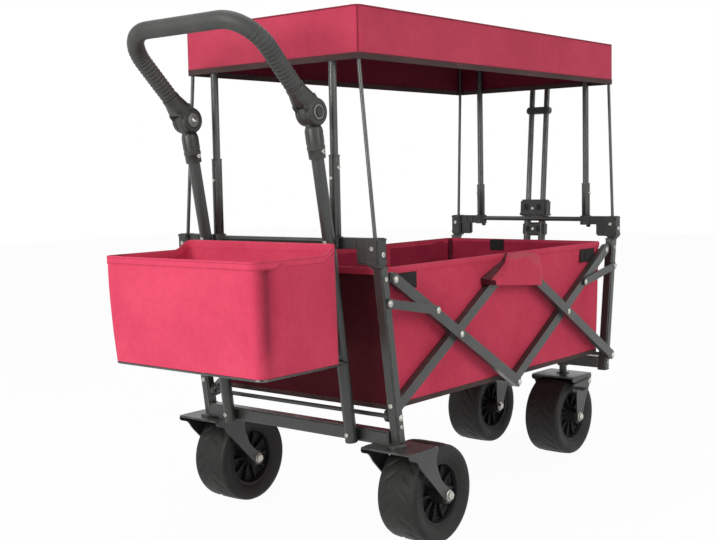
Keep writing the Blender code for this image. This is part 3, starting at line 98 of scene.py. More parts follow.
class Slot(Enum):
    """The record's material slots."""

    FRAME = "frame"
    PLASTIC = "plastic"
    FOAM = "foam"
    TYRE = "tyre"
    FABRIC = "fabric"
    MAT = "mat"
    STEEL = "steel"


# Shader groups and finishes


class Graph:
    """A node tree being wired."""

    def __init__(self, tree: bpy.types.NodeTree) -> None:
        """Start from a tree that holds its own end nodes."""
        self.tree = tree

    def add(self, kind: str, **settings: object) -> bpy.types.Node:
        """Place a node.

        Args:
            kind: Blender's name of the node.
            settings: attributes of the node, or values of its inputs by position as i0, i1 and so on.

        Returns:
            The new node.
        """
        node = self.tree.nodes.new(kind)
        for key, value in settings.items():
            if key[0] == "i" and key[1:].isdigit():
                self.feed(value, node.inputs[int(key[1:])])
            else:
                setattr(node, key, value)
        return node

    def feed(self, value: object, socket: bpy.types.NodeSocket) -> None:
        """Link a socket's value to an input, or set a plain value on it."""
        if isinstance(value, bpy.types.NodeSocket):
            self.tree.links.new(value, socket)
        else:
            socket.default_value = value

    def math(self, operation: str, first: object, second: object = 0.0) -> bpy.types.NodeSocket:
        """A Math node's result."""
        return self.add("ShaderNodeMath", operation=operation, i0=first, i1=second).outputs[0]

    def remap(self, value: object, low: float, high: float, to_low: float, to_high: float) -> object:
        """A value carried from one range to another, held at its ends."""
        return self.add("ShaderNodeMapRange", i0=value, i1=low, i2=high, i3=to_low, i4=to_high).outputs[0]

    def place(self) -> bpy.types.NodeSocket:
        """A place in the piece's own space."""
        return self.add("ShaderNodeTexCoord").outputs["Object"]

    def noise(self, place: object, scale: object, detail: float = 2.0) -> bpy.types.Node:
        """A Noise texture."""
        node = self.add("ShaderNodeTexNoise", i0=place)
        self.feed(scale, node.inputs["Scale"])
        node.inputs["Detail"].default_value = detail
        return node

    def blend(self, share: object, first: object, second: object) -> bpy.types.NodeSocket:
        """Two colours mixed by a share."""
        node = self.add("ShaderNodeMix", data_type="RGBA")
        for value, place in ((share, 0), (first, 6), (second, 7)):
            self.feed(value, node.inputs[place])
        return node.outputs[2]


def build_group(name: str, inputs: dict[str, float], outputs: dict[str, str],
                wire: Callable[[Graph, bpy.types.Node], dict[str, object]]) -> bpy.types.NodeTree:
    """Make a shader node group once.

    Args:
        name: the group's name.
        inputs: each input's name and usual value.
        outputs: each output's name and socket type.
        wire: places the nodes, and gives the socket for each output.

    Returns:
        The group's tree.
    """
    if name in bpy.data.node_groups:
        return bpy.data.node_groups[name]
    tree = bpy.data.node_groups.new(name, "ShaderNodeTree")
    for label, value in inputs.items():
        socket = tree.interface.new_socket(label, in_out="INPUT", socket_type="NodeSocketFloat")
        socket.default_value = value
    for label, kind in outputs.items():
        tree.interface.new_socket(label, in_out="OUTPUT", socket_type=kind)
    graph = Graph(tree)
    entry = graph.add("NodeGroupInput")
    exit_node = graph.add("NodeGroupOutput")
    for label, socket in wire(graph, entry).items():
        tree.links.new(socket, exit_node.inputs[label])
    return tree


def wire_weave(graph: Graph, entry: bpy.types.Node) -> dict[str, object]:
    """Crossing threads in the piece's own space, and slubs that thicken some of them."""
    place = graph.place()
    stray = graph.noise(place, 45.0)
    drift = graph.add("ShaderNodeVectorMath", operation="SCALE", i0=stray.outputs["Color"])
    drift.inputs["Scale"].default_value = 0.006
    drawn = graph.add("ShaderNodeVectorMath", operation="ADD", i0=place, i1=drift.outputs[0])
    threads = graph.add("ShaderNodeVectorMath", operation="SCALE", i0=drawn.outputs[0])
    graph.feed(entry.outputs["Threads"], threads.inputs["Scale"])
    wave = graph.add("ShaderNodeVectorMath", operation="SINE", i0=threads.outputs[0])
    crest = graph.add("ShaderNodeVectorMath", operation="ABSOLUTE", i0=wave.outputs[0])
    total = graph.add("ShaderNodeVectorMath", operation="DOT_PRODUCT", i0=crest.outputs[0],
                      i1=(0.5, 0.5, 0.5))
    thread = total.outputs["Value"]
    slub = graph.noise(place, 260.0)
    height = graph.math("MULTIPLY", thread, graph.remap(slub.outputs[0], 0.3, 0.7, 0.7, 1.0))
    return {"Height": graph.math("MULTIPLY", height, entry.outputs["Depth"]), "Thread": thread}


def wire_mottle(graph: Graph, entry: bpy.types.Node) -> dict[str, object]:
    """Broad uneven patches and finer specks, as one value from 0 to 1."""
    place = graph.place()
    broad = graph.noise(place, entry.outputs["Scale"], 5.0)
    fine = graph.noise(place, graph.math("MULTIPLY", entry.outputs["Scale"], 9.0))
    both = graph.math("ADD", graph.math("MULTIPLY", broad.outputs[0], 0.72),
                      graph.math("MULTIPLY", fine.outputs[0], 0.28))
    return {"Patch": graph.remap(both, 0.33, 0.67, 0.0, 1.0)}


def wire_grain(graph: Graph, entry: bpy.types.Node) -> dict[str, object]:
    """The fine orange-peel or pebble of a coating, a moulding or a rubber."""
    place = graph.place()
    pebble = graph.noise(place, entry.outputs["Scale"], 3.0)
    height = graph.math("MULTIPLY", pebble.outputs[0], entry.outputs["Depth"])
    return {"Height": height, "Peak": graph.remap(pebble.outputs[0], 0.45, 0.75, 0.0, 1.0)}


def wire_wear(graph: Graph, entry: bpy.types.Node) -> dict[str, object]:
    """Rubbed edges and thin scuffs, as a mask."""
    geometry = graph.add("ShaderNodeNewGeometry")
    rounded = graph.add("ShaderNodeBevel", samples=4)
    rounded.inputs["Radius"].default_value = 0.0012
    place = graph.place()
    patch = graph.noise(place, 70.0, 6.0)
    turn = graph.add("ShaderNodeVectorMath", operation="DOT_PRODUCT", i0=geometry.outputs["Normal"],
                     i1=rounded.outputs[0])
    edge = graph.remap(turn.outputs["Value"], 0.72, 0.97, 1.0, 0.0)
    rubbed = graph.math("MULTIPLY", edge, graph.remap(patch.outputs[0], 0.42, 0.62, 0.0, 1.0))
    scuff = graph.remap(patch.outputs[0], 0.74, 0.78, 0.0, 0.25)
    both = graph.math("MAXIMUM", rubbed, scuff)
    return {"Worn": graph.math("MULTIPLY", both, entry.outputs["Amount"])}


def wire_dust(graph: Graph, entry: bpy.types.Node) -> dict[str, object]:
    """Dust that settles on what faces up, and low on the wagon."""
    geometry = graph.add("ShaderNodeNewGeometry")
    up = graph.add("ShaderNodeSeparateXYZ", i0=geometry.outputs["Normal"])
    height = graph.add("ShaderNodeSeparateXYZ", i0=geometry.outputs["Position"])
    place = graph.place()
    cloud = graph.noise(place, 35.0, 6.0)
    facing = graph.remap(up.outputs[2], 0.1, 1.0, 0.0, 1.0)
    low = graph.remap(height.outputs[2], 0.0, 0.22, 0.7, 0.0)
    both = graph.math("MAXIMUM", facing, low)
    settled = graph.math("MULTIPLY", both, graph.remap(cloud.outputs[0], 0.35, 0.75, 0.0, 1.0))
    return {"Dust": graph.math("MULTIPLY", settled, entry.outputs["Amount"])}


NUMBER = "NodeSocketFloat"
GROUPS = {
    "weave": ({"Threads": 3000.0, "Depth": 1.0}, {"Height": NUMBER, "Thread": NUMBER}, wire_weave),
    "mottle": ({"Scale": 12.0}, {"Patch": NUMBER}, wire_mottle),
    "grain": ({"Scale": 900.0, "Depth": 1.0}, {"Height": NUMBER, "Peak": NUMBER}, wire_grain),
    "wear": ({"Amount": 1.0}, {"Worn": NUMBER}, wire_wear),
    "dust": ({"Amount": 1.0}, {"Dust": NUMBER}, wire_dust),
}


@dataclass(frozen=True)
class Finish:
    """What a surface is made of. Subclasses wire the look."""

    name: str
    colour: tuple[int, int, int]
    second: tuple[int, int, int]
    roughness: float
    slot: Slot = Slot.FRAME

    def material(self) -> bpy.types.Material:
        """The Blender material, made on first use."""
        if self.name in bpy.data.materials:
            return bpy.data.materials[self.name]
        made = bpy.data.materials.new(self.name)
        made.use_nodes = True
        graph = Graph(made.node_tree)
        shader = made.node_tree.nodes["Principled BSDF"]
        self.wire(graph, shader)
        return made

    def group(self, graph: Graph, kind: str, **values: float) -> bpy.types.Node:
        """Place a shared node group with this material's own values."""
        inputs, outputs, wire = GROUPS[kind]
        node = graph.add("ShaderNodeGroup", node_tree=build_group("wagon_" + kind, inputs, outputs, wire))
        for label, value in values.items():
            node.inputs[label].default_value = value
        return node

    def dyed(self, graph: Graph, patch: object) -> bpy.types.NodeSocket:
        """The finish's two colours, mixed by its patches."""
        return graph.blend(patch, linear(*self.colour), linear(*self.second))

    def roughen(self, graph: Graph, shader: bpy.types.Node, patch: object, less: float, more: float) -> None:
        """Let the roughness wander round its usual value with the patches."""
        spread = graph.remap(patch, 0.0, 1.0, self.roughness - less, self.roughness + more)
        graph.feed(spread, shader.inputs["Roughness"])

    def bump(self, graph: Graph, shader: bpy.types.Node, height: object, strength: float,
             distance: float) -> None:
        """Raise a height on the surface."""
        node = graph.add("ShaderNodeBump")
        node.inputs["Strength"].default_value = strength
        node.inputs["Distance"].default_value = distance
        graph.feed(height, node.inputs["Height"])
        graph.feed(node.outputs[0], shader.inputs["Normal"])

    def wire(self, graph: Graph, shader: bpy.types.Node) -> None:
        """Wire the shader; each kind of finish has its own way."""
        raise NotImplementedError


@dataclass(frozen=True)
class Cloth(Finish):
    """Coated polyester cloth or webbing: crossing threads, a soft sheen and uneven dye."""

    slot: Slot = Slot.FABRIC
    threads: float = 3400.0
    depth: float = 0.5
    sheen: float = 0.12
    patches: float = 9.0

    def wire(self, graph: Graph, shader: bpy.types.Node) -> None:
        """Dye, threads, creases, a little dust, and painted shade in the folds that a piece marks."""
        patch = self.group(graph, "mottle", Scale=self.patches).outputs["Patch"]
        weave = self.group(graph, "weave", Threads=self.threads, Depth=1.0)
        dust = self.group(graph, "dust", Amount=0.1).outputs["Dust"]
        lit = graph.blend(graph.remap(weave.outputs["Thread"], 0.2, 1.0, 0.12, 0.0),
                          self.dyed(graph, patch), linear(*[int(value * 0.6) for value in self.second]))
        dusty = graph.blend(dust, lit, linear(205, 196, 186))
        # Painted shade: where a piece marks its folds, the colour is darkened towards a deep shade of the
        # cloth's second colour.
        fold = graph.add("ShaderNodeAttribute")
        fold.attribute_name = "painted_fold_shade"
        deep = linear(*[int(value * share) for value, share in zip(self.second, (0.5, 0.2, 0.36))])
        graph.feed(graph.blend(fold.outputs["Fac"], dusty, deep), shader.inputs["Base Color"])
        self.roughen(graph, shader, patch, 0.06, 0.06)
        crease = self.group(graph, "mottle", Scale=self.patches * 2.6).outputs["Patch"]
        height = graph.math("ADD", graph.math("MULTIPLY", weave.outputs["Height"], self.depth * 0.0003),
                            graph.math("MULTIPLY", crease, 0.0009))
        self.bump(graph, shader, height, 0.8, 1.0)
        shader.inputs["Sheen Weight"].default_value = self.sheen
        shader.inputs["Sheen Roughness"].default_value = 0.45
        shader.inputs["Sheen Tint"].default_value = linear(255, 190, 200)
        shader.inputs["Specular IOR Level"].default_value = 0.25


@dataclass(frozen=True)
class PowderCoat(Finish):
    """Powder coat on steel tube: fine orange peel, rubbed edges down to bare metal."""

    metallic: float = 0.0
    wear: float = 0.5

    def wire(self, graph: Graph, shader: bpy.types.Node) -> None:
        """Coat, wear and dust."""
        patch = self.group(graph, "mottle", Scale=14.0).outputs["Patch"]
        grain = self.group(graph, "grain", Scale=1500.0, Depth=1.0)
        worn = self.group(graph, "wear", Amount=self.wear).outputs["Worn"]
        dust = self.group(graph, "dust", Amount=0.07).outputs["Dust"]
        rubbed = graph.blend(worn, self.dyed(graph, patch), linear(150, 150, 146))
        graph.feed(graph.blend(dust, rubbed, linear(176, 170, 160)), shader.inputs["Base Color"])
        self.roughen(graph, shader, patch, 0.06, 0.1)
        graph.feed(graph.math("MAXIMUM", graph.math("MULTIPLY", worn, 0.8), self.metallic),
                   shader.inputs["Metallic"])
        self.bump(graph, shader, grain.outputs["Height"], 0.35, 0.0004)
        shader.inputs["Coat Weight"].default_value = 0.25
        shader.inputs["Coat Roughness"].default_value = 0.3


@dataclass(frozen=True)
class Moulding(Finish):
    """Moulded plastic, rubber or foam: pebbled, matt, paler on its peaks."""

    slot: Slot = Slot.PLASTIC
    grain: float = 1100.0
    depth: float = 0.5
    dust: float = 0.2
    specular: float = 0.5

    def wire(self, graph: Graph, shader: bpy.types.Node) -> None:
        """Pebble, scuffs and dust."""
        patch = self.group(graph, "mottle", Scale=18.0).outputs["Patch"]
        grain = self.group(graph, "grain", Scale=self.grain, Depth=1.0)
        worn = self.group(graph, "wear", Amount=0.35).outputs["Worn"]
        dust = self.group(graph, "dust", Amount=self.dust).outputs["Dust"]
        peak = graph.blend(graph.math("MULTIPLY", grain.outputs["Peak"], 0.25),
                           self.dyed(graph, patch), linear(98, 98, 95))
        scuffed = graph.blend(worn, peak, linear(120, 120, 117))
        graph.feed(graph.blend(dust, scuffed, linear(168, 160, 148)), shader.inputs["Base Color"])
        self.roughen(graph, shader, patch, 0.08, 0.05)
        self.bump(graph, shader, grain.outputs["Height"], self.depth, 0.0006)
        shader.inputs["Specular IOR Level"].default_value = self.specular


@dataclass(frozen=True)
class Plated(Finish):
    """Zinc-plated steel: bolts, rivets and pins."""

    slot: Slot = Slot.STEEL

    def wire(self, graph: Graph, shader: bpy.types.Node) -> None:
        """Bright metal, spangle and a little tarnish."""
        patch = self.group(graph, "mottle", Scale=60.0).outputs["Patch"]
        grain = self.group(graph, "grain", Scale=2400.0, Depth=1.0)
        graph.feed(self.dyed(graph, patch), shader.inputs["Base Color"])
        self.roughen(graph, shader, patch, 0.08, 0.14)
        shader.inputs["Metallic"].default_value = 1.0
        self.bump(graph, shader, grain.outputs["Height"], 0.15, 0.0003)


TUB_CLOTH = Cloth("tub_polyester", (208, 62, 90), (190, 52, 78), 0.8)
# Painted shade: a darker copy of the tub cloth for the tub's inner side, which stands in shade.
TUB_INSIDE_SHADE = Cloth("tub_inside_painted_shade", (168, 38, 68), (148, 30, 58), 0.86, sheen=0.1)
# Painted shade: a darker copy of the tub cloth for the rear end wall, which stands in shade.
REAR_WALL_SHADE = Cloth("end_wall_polyester", (84, 12, 26), (64, 8, 18), 0.88, sheen=0.1)
BASKET_CLOTH = Cloth("basket_polyester", (222, 72, 102), (206, 60, 90), 0.78)
CANOPY_CLOTH = Cloth("canopy_polyester", (196, 64, 88), (180, 55, 80), 0.8, patches=6.0)
# Painted shade: a darker copy of the canopy cloth for its underside, which stands in shade.
CANOPY_UNDERSIDE_SHADE = Cloth("canopy_underside_painted_shade", (112, 18, 42), (94, 12, 34), 0.88, patches=6.0, sheen=0.1)
BINDING = Cloth("dark_binding", (78, 62, 60), (60, 48, 48), 0.88, threads=2600.0, depth=1.0, sheen=0.1)
WEBBING = Cloth("black_webbing", (36, 38, 37), (24, 26, 25), 0.85, threads=1500.0, depth=2.0, sheen=0.1)
MAT_CLOTH = Cloth("mat_polyester", (62, 22, 34), (48, 18, 28), 0.85, Slot.MAT, threads=2600.0, depth=1.0,
                  sheen=0.1)
THREAD = Cloth("red_thread", (150, 36, 60), (124, 28, 48), 0.8, threads=5200.0, depth=0.6, sheen=0.1)
COAT = PowderCoat("charcoal_powder_coat", (50, 54, 51), (40, 44, 41), 0.34, wear=0.8)
CASTER_COAT = PowderCoat("caster_powder_coat", (40, 43, 40), (31, 34, 32), 0.4, wear=0.6)
ROD_COAT = PowderCoat("satin_grey_coat", (84, 86, 83), (64, 66, 64), 0.26, metallic=0.6, wear=0.3)
PLASTIC = Moulding("black_moulding", (36, 39, 37), (27, 29, 28), 0.46, grain=1300.0, depth=0.3, dust=0.05)
KNUCKLE_PLASTIC = Moulding("knuckle_moulding", (48, 50, 46), (36, 38, 35), 0.42, grain=1200.0, depth=0.3,
                           dust=0.04)
TRIM = Moulding("grey_trim", (128, 130, 124), (104, 106, 100), 0.38, grain=1500.0, depth=0.2, dust=0.02)
FOAM = Moulding("foam_grip", (56, 58, 55), (44, 46, 44), 0.58, Slot.FOAM, grain=700.0, depth=0.7, dust=0.04)
RUBBER = Moulding("tyre_rubber", (19, 20, 18), (12, 13, 12), 0.6, Slot.TYRE, grain=900.0, depth=0.35,
                  dust=0.03, specular=0.3)
HUB_PLASTIC = Moulding("hub_moulding", (8, 9, 8), (5, 5, 5), 0.55, grain=1300.0, depth=0.3, dust=0.01,
                       specular=0.25)
ZINC = Plated("zinc_plate", (214, 214, 208), (168, 167, 160), 0.28)
# Painted shade: a dark cloth laid where the tub's corners and the hoods' tucks stand in shade.
SHADE_CLOTH = Cloth("painted_shade_cloth", (92, 20, 38), (72, 14, 28), 0.88, threads=4200.0, depth=0.8, sheen=0.05)
SLOT_FINISH = {Slot.FRAME: COAT, Slot.PLASTIC: PLASTIC, Slot.FOAM: FOAM, Slot.TYRE: RUBBER,
               Slot.FABRIC: TUB_CLOTH, Slot.MAT: MAT_CLOTH, Slot.STEEL: ZINC}


# Making meshes


def rounded_path(corners: Sequence[Point], radius: float, steps: int = 8) -> list[Vector]:
    """Round the inner corners of a line.

    Args:
        corners: the line's corners in order.
        radius: the radius of each bend.
        steps: how many points a bend gets, less one.

    Returns:
        The points of the rounded line.
    """
    path = [Vector(corners[0])]
    for before, corner, after in zip(corners, corners[1:], corners[2:]):
        middle = Vector(corner)
        back = (Vector(before) - middle).normalized()
        ahead = (Vector(after) - middle).normalized()
        half = back.angle(ahead) / 2.0
        reach = radius / math.tan(half)
        centre = middle + (back + ahead).normalized() * (radius / math.sin(half))
        start = middle + back * reach - centre
        end = middle + ahead * reach - centre
        for index in range(steps + 1):
            path.append(centre + start.normalized().slerp(end.normalized(), index / steps) * radius)
    path.append(Vector(corners[-1]))
    return path


class Maker:
    """A mesh in the making, in the wagon's own frame; parts are added, then it becomes one piece."""

    def __init__(self) -> None:
        """Start empty."""
        self.shape = bmesh.new()

    def grid(self, rows: Sequence[Sequence[Vector]], wrap: bool = False, close: bool = False) -> None:
        """Skin rows of points.

        Args:
            rows: rows of the same number of points.
            wrap: join the end of each row to its start.
            close: join the last row to the first.
        """
        made = [[self.shape.verts.new(point) for point in row] for row in rows]
        if close:
            made.append(made[0])
        width = len(made[0])
        for low, high in zip(made, made[1:]):
            for index in range(width if wrap else width - 1):
                after = (index + 1) % width
                self.shape.faces.new((low[index], low[after], high[after], high[index]))

    def turned(self, profile: Sequence[tuple[float, float]], place: Matrix, segments: int = 48,
               wobble: Callable[[float, float, float], float] | None = None) -> None:
        """Turn a profile of (radius, height) pairs round the Z axis of a place.

        Args:
            profile: the outline, from one end to the other.
            place: where the turned shape goes.
            segments: the steps round the axis.
            wobble: a change of radius by radius, height and angle.
        """
        rows = []
        for index in range(segments):
            angle = 2.0 * math.pi * index / segments
            row = []
            for radius, height in profile:
                reach = radius + (wobble(radius, height, angle) if wobble else 0.0)
                row.append(place @ Vector((reach * math.cos(angle), reach * math.sin(angle), height)))
            rows.append(row)
        self.grid(rows, close=True)

    def sweep(self, path: Sequence[Vector], section: Sequence[tuple[float, float]] | float,
              closed: bool = False, segments: int = 16,
              swell: Callable[[float], float] | None = None) -> None:
        """Carry a section along a line.

        Args:
            path: the line's points.
            section: the radius of a round section, or its outline.
            closed: the line meets itself.
            segments: the steps round a round section.
            swell: a factor on the section by the distance along the line.
        """
        if isinstance(section, float):
            section = [(section * math.cos(2.0 * math.pi * step / segments),
                        section * math.sin(2.0 * math.pi * step / segments)) for step in range(segments)]
        count = len(path)
        rows = []
        side = None
        distance = 0.0
        for index, point in enumerate(path):
            before = path[index - 1] if index or closed else point
            after = path[(index + 1) % count] if index + 1 < count or closed else point
            along = (after - before).normalized()
            if side is None:
                side = along.orthogonal().normalized()
            side = (side - along * side.dot(along)).normalized()
            up = along.cross(side)
            distance += (point - path[index - 1]).length if index else 0.0
            factor = swell(distance) if swell else 1.0
            rows.append([point + (side * x + up * y) * factor for x, y in section])
        self.grid(rows, wrap=True, close=closed)
        if not closed:
            for row in (0, -1):
                self.cap(rows[row])

    def cap(self, ring: Sequence[Vector]) -> None:
        """Close a ring of points with one face."""
        self.shape.faces.new([self.shape.verts.new(point) for point in ring])

    def rod(self, start: Point, end: Point, radius: float, segments: int = 20) -> None:
        """A straight round bar."""
        self.sweep([Vector(start), Vector(end)], radius, segments=segments)

    def box(self, centre: Point, size: Point, bevel: float = 0.0, turn: Matrix | None = None,
            steps: int = 2) -> None:
        """A block with rounded edges.

        Args:
            centre: its middle.
            size: its three sides.
            bevel: the radius of its edges.
            turn: a rotation about its middle.
            steps: the steps of the rounding.
        """
        place = Matrix.Translation(centre) @ (turn or Matrix()).to_4x4()
        made = bmesh.ops.create_cube(self.shape, size=1.0, matrix=place @ Matrix.Diagonal((*size, 1.0)))
        if bevel:
            edges = {edge for vertex in made["verts"] for edge in vertex.link_edges}
            bmesh.ops.bevel(self.shape, geom=list(edges), offset=bevel, segments=steps, affect="EDGES")

    def plate(self, outline: Sequence[tuple[float, float]], low: float, high: float, bevel: float = 0.0,
              steps: int = 2) -> None:
        """A flat shape that stands in the XZ plane, with its long edges rounded.

        Args:
            outline: its corners as (x, z).
            low: where it starts along Y.
            high: where it ends along Y.
            bevel: the radius of its edges.
            steps: the steps of the rounding.
        """
        rings = [[self.shape.verts.new((x, y, z)) for x, z in outline] for y in (low, high)]
        ends = [self.shape.faces.new(rings[0]), self.shape.faces.new(list(reversed(rings[1])))]
        count = len(outline)
        for index in range(count):
            after = (index + 1) % count
            self.shape.faces.new((rings[0][after], rings[0][index], rings[1][index], rings[1][after]))
        if bevel:
            edges = {edge for face in ends for edge in face.edges}
            bmesh.ops.bevel(self.shape, geom=list(edges), offset=bevel, segments=steps, affect="EDGES")

    def rivet(self, x: float, face: float, z: float, side: float, radius: float = 0.006,
              height: float = 0.003) -> None:
        """A domed rivet on a washer, that points outwards from a face along Y.

        Args:
            x: its place along the wagon.
            face: how far the face lies from the wagon's middle.
            z: its height.
            side: 1 for the left and -1 for the right.
            radius: the washer's radius.
            height: how far the dome stands out.
        """
        dome = radius * 0.72
        profile = [(0.0, -0.001), (radius, -0.001), (radius, 0.0006), (radius - 0.0004, 0.0009),
                   (dome, 0.0009)]
        for turn in (18.0, 36.0, 54.0, 72.0):
            angle = math.radians(turn)
            profile.append((dome * math.cos(angle), 0.0009 + (height - 0.0009) * math.sin(angle)))
        profile.append((0.0, height))
        self.turned(profile, axis_place((x, side * face, z), (0.0, side, 0.0)), 20)

    def screw(self, centre: Point, axis: Point, radius: float = 0.0042, height: float = 0.0022) -> None:
        """A socket screw's head, with its recess, that points along an axis."""
        profile = [(0.0, height * 0.35), (radius * 0.45, height * 0.35), (radius * 0.5, height),
                   (radius * 0.85, height), (radius, height * 0.7), (radius, -0.001), (0.0, -0.001)]
        self.turned(profile, axis_place(centre, axis), 18)

    def stitches(self, path: Sequence[Vector], outs: Sequence[Vector], pitch: float = 0.0052,
                 length: float = 0.0034, width: float = 0.0008, proud: float = 0.0006) -> None:
        """A row of stitches along a closed line.

        Args:
            path: the line's points.
            outs: the way out of the cloth at each point.
            pitch: the distance from stitch to stitch.
            length: a stitch's length.
            width: its width.
            proud: how far it stands out of the cloth.
        """
        count = len(path)
        spare = 0.0
        for index in range(count):
            start = path[index]
            run = path[(index + 1) % count] - start
            reach = run.length
            if reach < 0.0001:
                continue
            along = run / reach
            out = outs[index]
            across = along.cross(out).normalized() * width / 2.0
            place = spare
            while place < reach:
                low = start + along * (place - length / 2.0)
                high = start + along * (place + length / 2.0)
                middle = (low + high) / 2.0 + out * proud
                ring = [self.shape.verts.new(point) for point in (low - across, low + across, high + across,
                                                                  high - across)]
                top = [self.shape.verts.new(middle + along * step + side) for step, side in
                       ((-length * 0.3, -across * 0.6), (-length * 0.3, across * 0.6),
                        (length * 0.3, across * 0.6), (length * 0.3, -across * 0.6))]
                self.shape.faces.new(list(reversed(ring)))
                self.shape.faces.new(top)
                for corner in range(4):
                    after = (corner + 1) % 4
                    self.shape.faces.new((ring[corner], ring[after], top[after], top[corner]))
                place += pitch
            spare = place - reach

    def sew_round(self, line: Sequence[Vector], proud: float) -> None:
        """Sew along a closed line round a piece, on a face that stands out from it by a given amount."""
        outs = outwards(line)
        self.stitches([point + out * proud for point, out in zip(line, outs)], outs)

    def edging(self, line: Sequence[Vector], outs: Sequence[Vector],
               section: Sequence[tuple[float, float]]) -> None:
        """Run a section of (outwards, upwards) steps along a closed line, given its ways out."""
        self.grid([[base + out * x + Vector((0.0, 0.0, y)) for x, y in section]
                   for base, out in zip(line, outs)], wrap=True, close=True)

    def piece(self, name: str, finish: Finish, body: str, replaces: Iterable[str] = (),
              weld: float = 0.00002, sharp: float = 38.0,
              thickness: float = 0.0, lining: Finish | None = None, flats: bool = False,
              panel: tuple[Finish, Callable[[Vector], bool]] | None = None,
              painted_fold_shade: Callable[[Vector], float] | None = None) -> bpy.types.Object:
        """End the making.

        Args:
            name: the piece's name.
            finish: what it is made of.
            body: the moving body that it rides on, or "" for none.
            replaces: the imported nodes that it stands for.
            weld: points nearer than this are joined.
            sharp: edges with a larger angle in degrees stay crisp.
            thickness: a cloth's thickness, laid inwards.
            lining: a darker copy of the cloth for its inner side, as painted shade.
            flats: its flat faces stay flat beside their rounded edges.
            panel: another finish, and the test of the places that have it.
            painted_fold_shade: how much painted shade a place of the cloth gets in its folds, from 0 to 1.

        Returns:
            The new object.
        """
        bmesh.ops.remove_doubles(self.shape, verts=self.shape.verts, dist=weld)
        bmesh.ops.recalc_face_normals(self.shape, faces=self.shape.faces)
        middle = Vector((WAGON_MIDDLE, 0.0, 0.0))
        bmesh.ops.translate(self.shape, verts=self.shape.verts, vec=middle)
        mesh = bpy.data.meshes.new(name)
        self.shape.to_mesh(mesh)
        self.shape.free()
        mesh.shade_smooth()
        mesh.set_sharp_from_angle(angle=math.radians(sharp))
        mesh.materials.append(finish.material())
        # The inner side gets a darker copy of the cloth: painted shade.
        if lining:
            mesh.materials.append(lining.material())
        if panel:
            mesh.materials.append(panel[0].material())
            mesh.materials.append((lining or panel[0]).material())
            for face in mesh.polygons:
                if panel[1](face.center - middle):
                    face.material_index = len(mesh.materials) - 2
        # Painted shade, stored on the points for the cloth's shader.
        if painted_fold_shade:
            depth = mesh.attributes.new("painted_fold_shade", "FLOAT", "POINT")
            for point in mesh.vertices:
                depth.data[point.index].value = painted_fold_shade(point.co - middle)
        made = bpy.data.objects.new(name, mesh)
        bpy.context.scene.collection.objects.link(made)
        if thickness:
            skin = made.modifiers.new("cloth", "SOLIDIFY")
            skin.thickness = thickness
            skin.offset = -1.0
            skin.material_offset = 1 if lining else 0
        if flats:
            evened = made.modifiers.new("flat faces", "WEIGHTED_NORMAL")
            evened.keep_sharp = True
        if body:
            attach(made, body)
        if replaces:
            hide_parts(*replaces)
        LOG.info("%s: %d faces", name, len(mesh.polygons))
        return made


def axis_place(centre: Point, axis: Point) -> Matrix:
    """A place whose Z axis points along the given axis."""
    turn = Vector((0.0, 0.0, 1.0)).rotation_difference(Vector(axis)).to_matrix().to_4x4()
    return Matrix.Translation(centre) @ turn


def outwards(loop: Sequence[Vector]) -> list[Vector]:
    """The level way out of a closed line, at each of its points."""
    count = len(loop)
    runs = [loop[(index + 1) % count] - loop[index - 1] for index in range(count)]
    return [Vector((run.y, -run.x, 0.0)).normalized() for run in runs]


def box_loop(front: float, back: float, half_width: float, corner: float, step: float) -> list[Vector]:
    """A rounded rectangle in the XY plane, as evenly spaced points.

    Args:
        front: its high X.
        back: its low X.
        half_width: half its width along Y.
        corner: the radius of its corners.
        step: the distance between points on its straight sides.

    Returns:
        The points in order, from the low X side at negative Y.
    """
    made = []
    centres = ((front - corner, -half_width + corner, -90.0), (front - corner, half_width - corner, 0.0),
               (back + corner, half_width - corner, 90.0), (back + corner, -half_width + corner, 180.0))
    bends = [[Vector((x + corner * math.cos(math.radians(start + turn)),
                      y + corner * math.sin(math.radians(start + turn)), 0.0))
              for turn in (0.0, 22.5, 45.0, 67.5, 90.0)] for x, y, start in centres]
    for bend, after in zip(bends, bends[1:] + bends[:1]):
        made.extend(bend)
        gap = after[0] - bend[-1]
        count = max(round(gap.length / step), 1)
        made.extend(bend[-1] + gap * (index / count) for index in range(1, count))
    return made


@dataclass(frozen=True)
class Fold:
    """A soft crease or ridge on a cloth wall, from one place to another."""

    start: tuple[float, float]
    end: tuple[float, float]
    width: float
    depth: float

    def push(self, across: float, height: float) -> float:
        """How far the fold moves the cloth outwards at a place on the wall."""
        begin = Vector(self.start)
        run = Vector(self.end) - begin
        share = (Vector((across, height)) - begin).dot(run) / run.length_squared
        held = min(max(share, 0.0), 1.0)
        away = (Vector((across, height)) - begin - run * held).length
        return self.depth * math.exp(-(away / self.width) ** 2) * (0.35 + 0.65 * math.sin(math.pi * held))


def stadium(start: tuple[float, float], end: tuple[float, float], width: float) -> list[tuple[float, float]]:
    """A bar's outline with round ends, between two pivots."""
    angle = math.atan2(end[1] - start[1], end[0] - start[0])
    made = []
    for pivot, begin in ((start, angle + math.pi / 2.0), (end, angle - math.pi / 2.0)):
        for step in range(11):
            turn = begin + math.pi * step / 10.0
            made.append((pivot[0] + width / 2.0 * math.cos(turn), pivot[1] + width / 2.0 * math.sin(turn)))
    return made


def softened(outline: Sequence[tuple[float, float]], rounds: int = 2) -> list[tuple[float, float]]:
    """An outline with its corners cut back, again and again, until they are round."""
    made = [Vector(point) for point in outline]
    for _ in range(rounds):
        cut = []
        for first, second in zip(made, made[1:] + made[:1]):
            reach = min(0.25, 0.006 / max((second - first).length, 0.0001))
            cut.extend((first.lerp(second, reach), second.lerp(first, reach)))
        made = cut
    return [(point.x, point.y) for point in made]


def ripple(place: Vector, scale: float, seed: float) -> float:
    """Smooth unevenness of cloth, from about -1 to 1."""
    return noise.noise(place * scale + Vector((seed, seed * 0.7, -seed)))


# Fabric


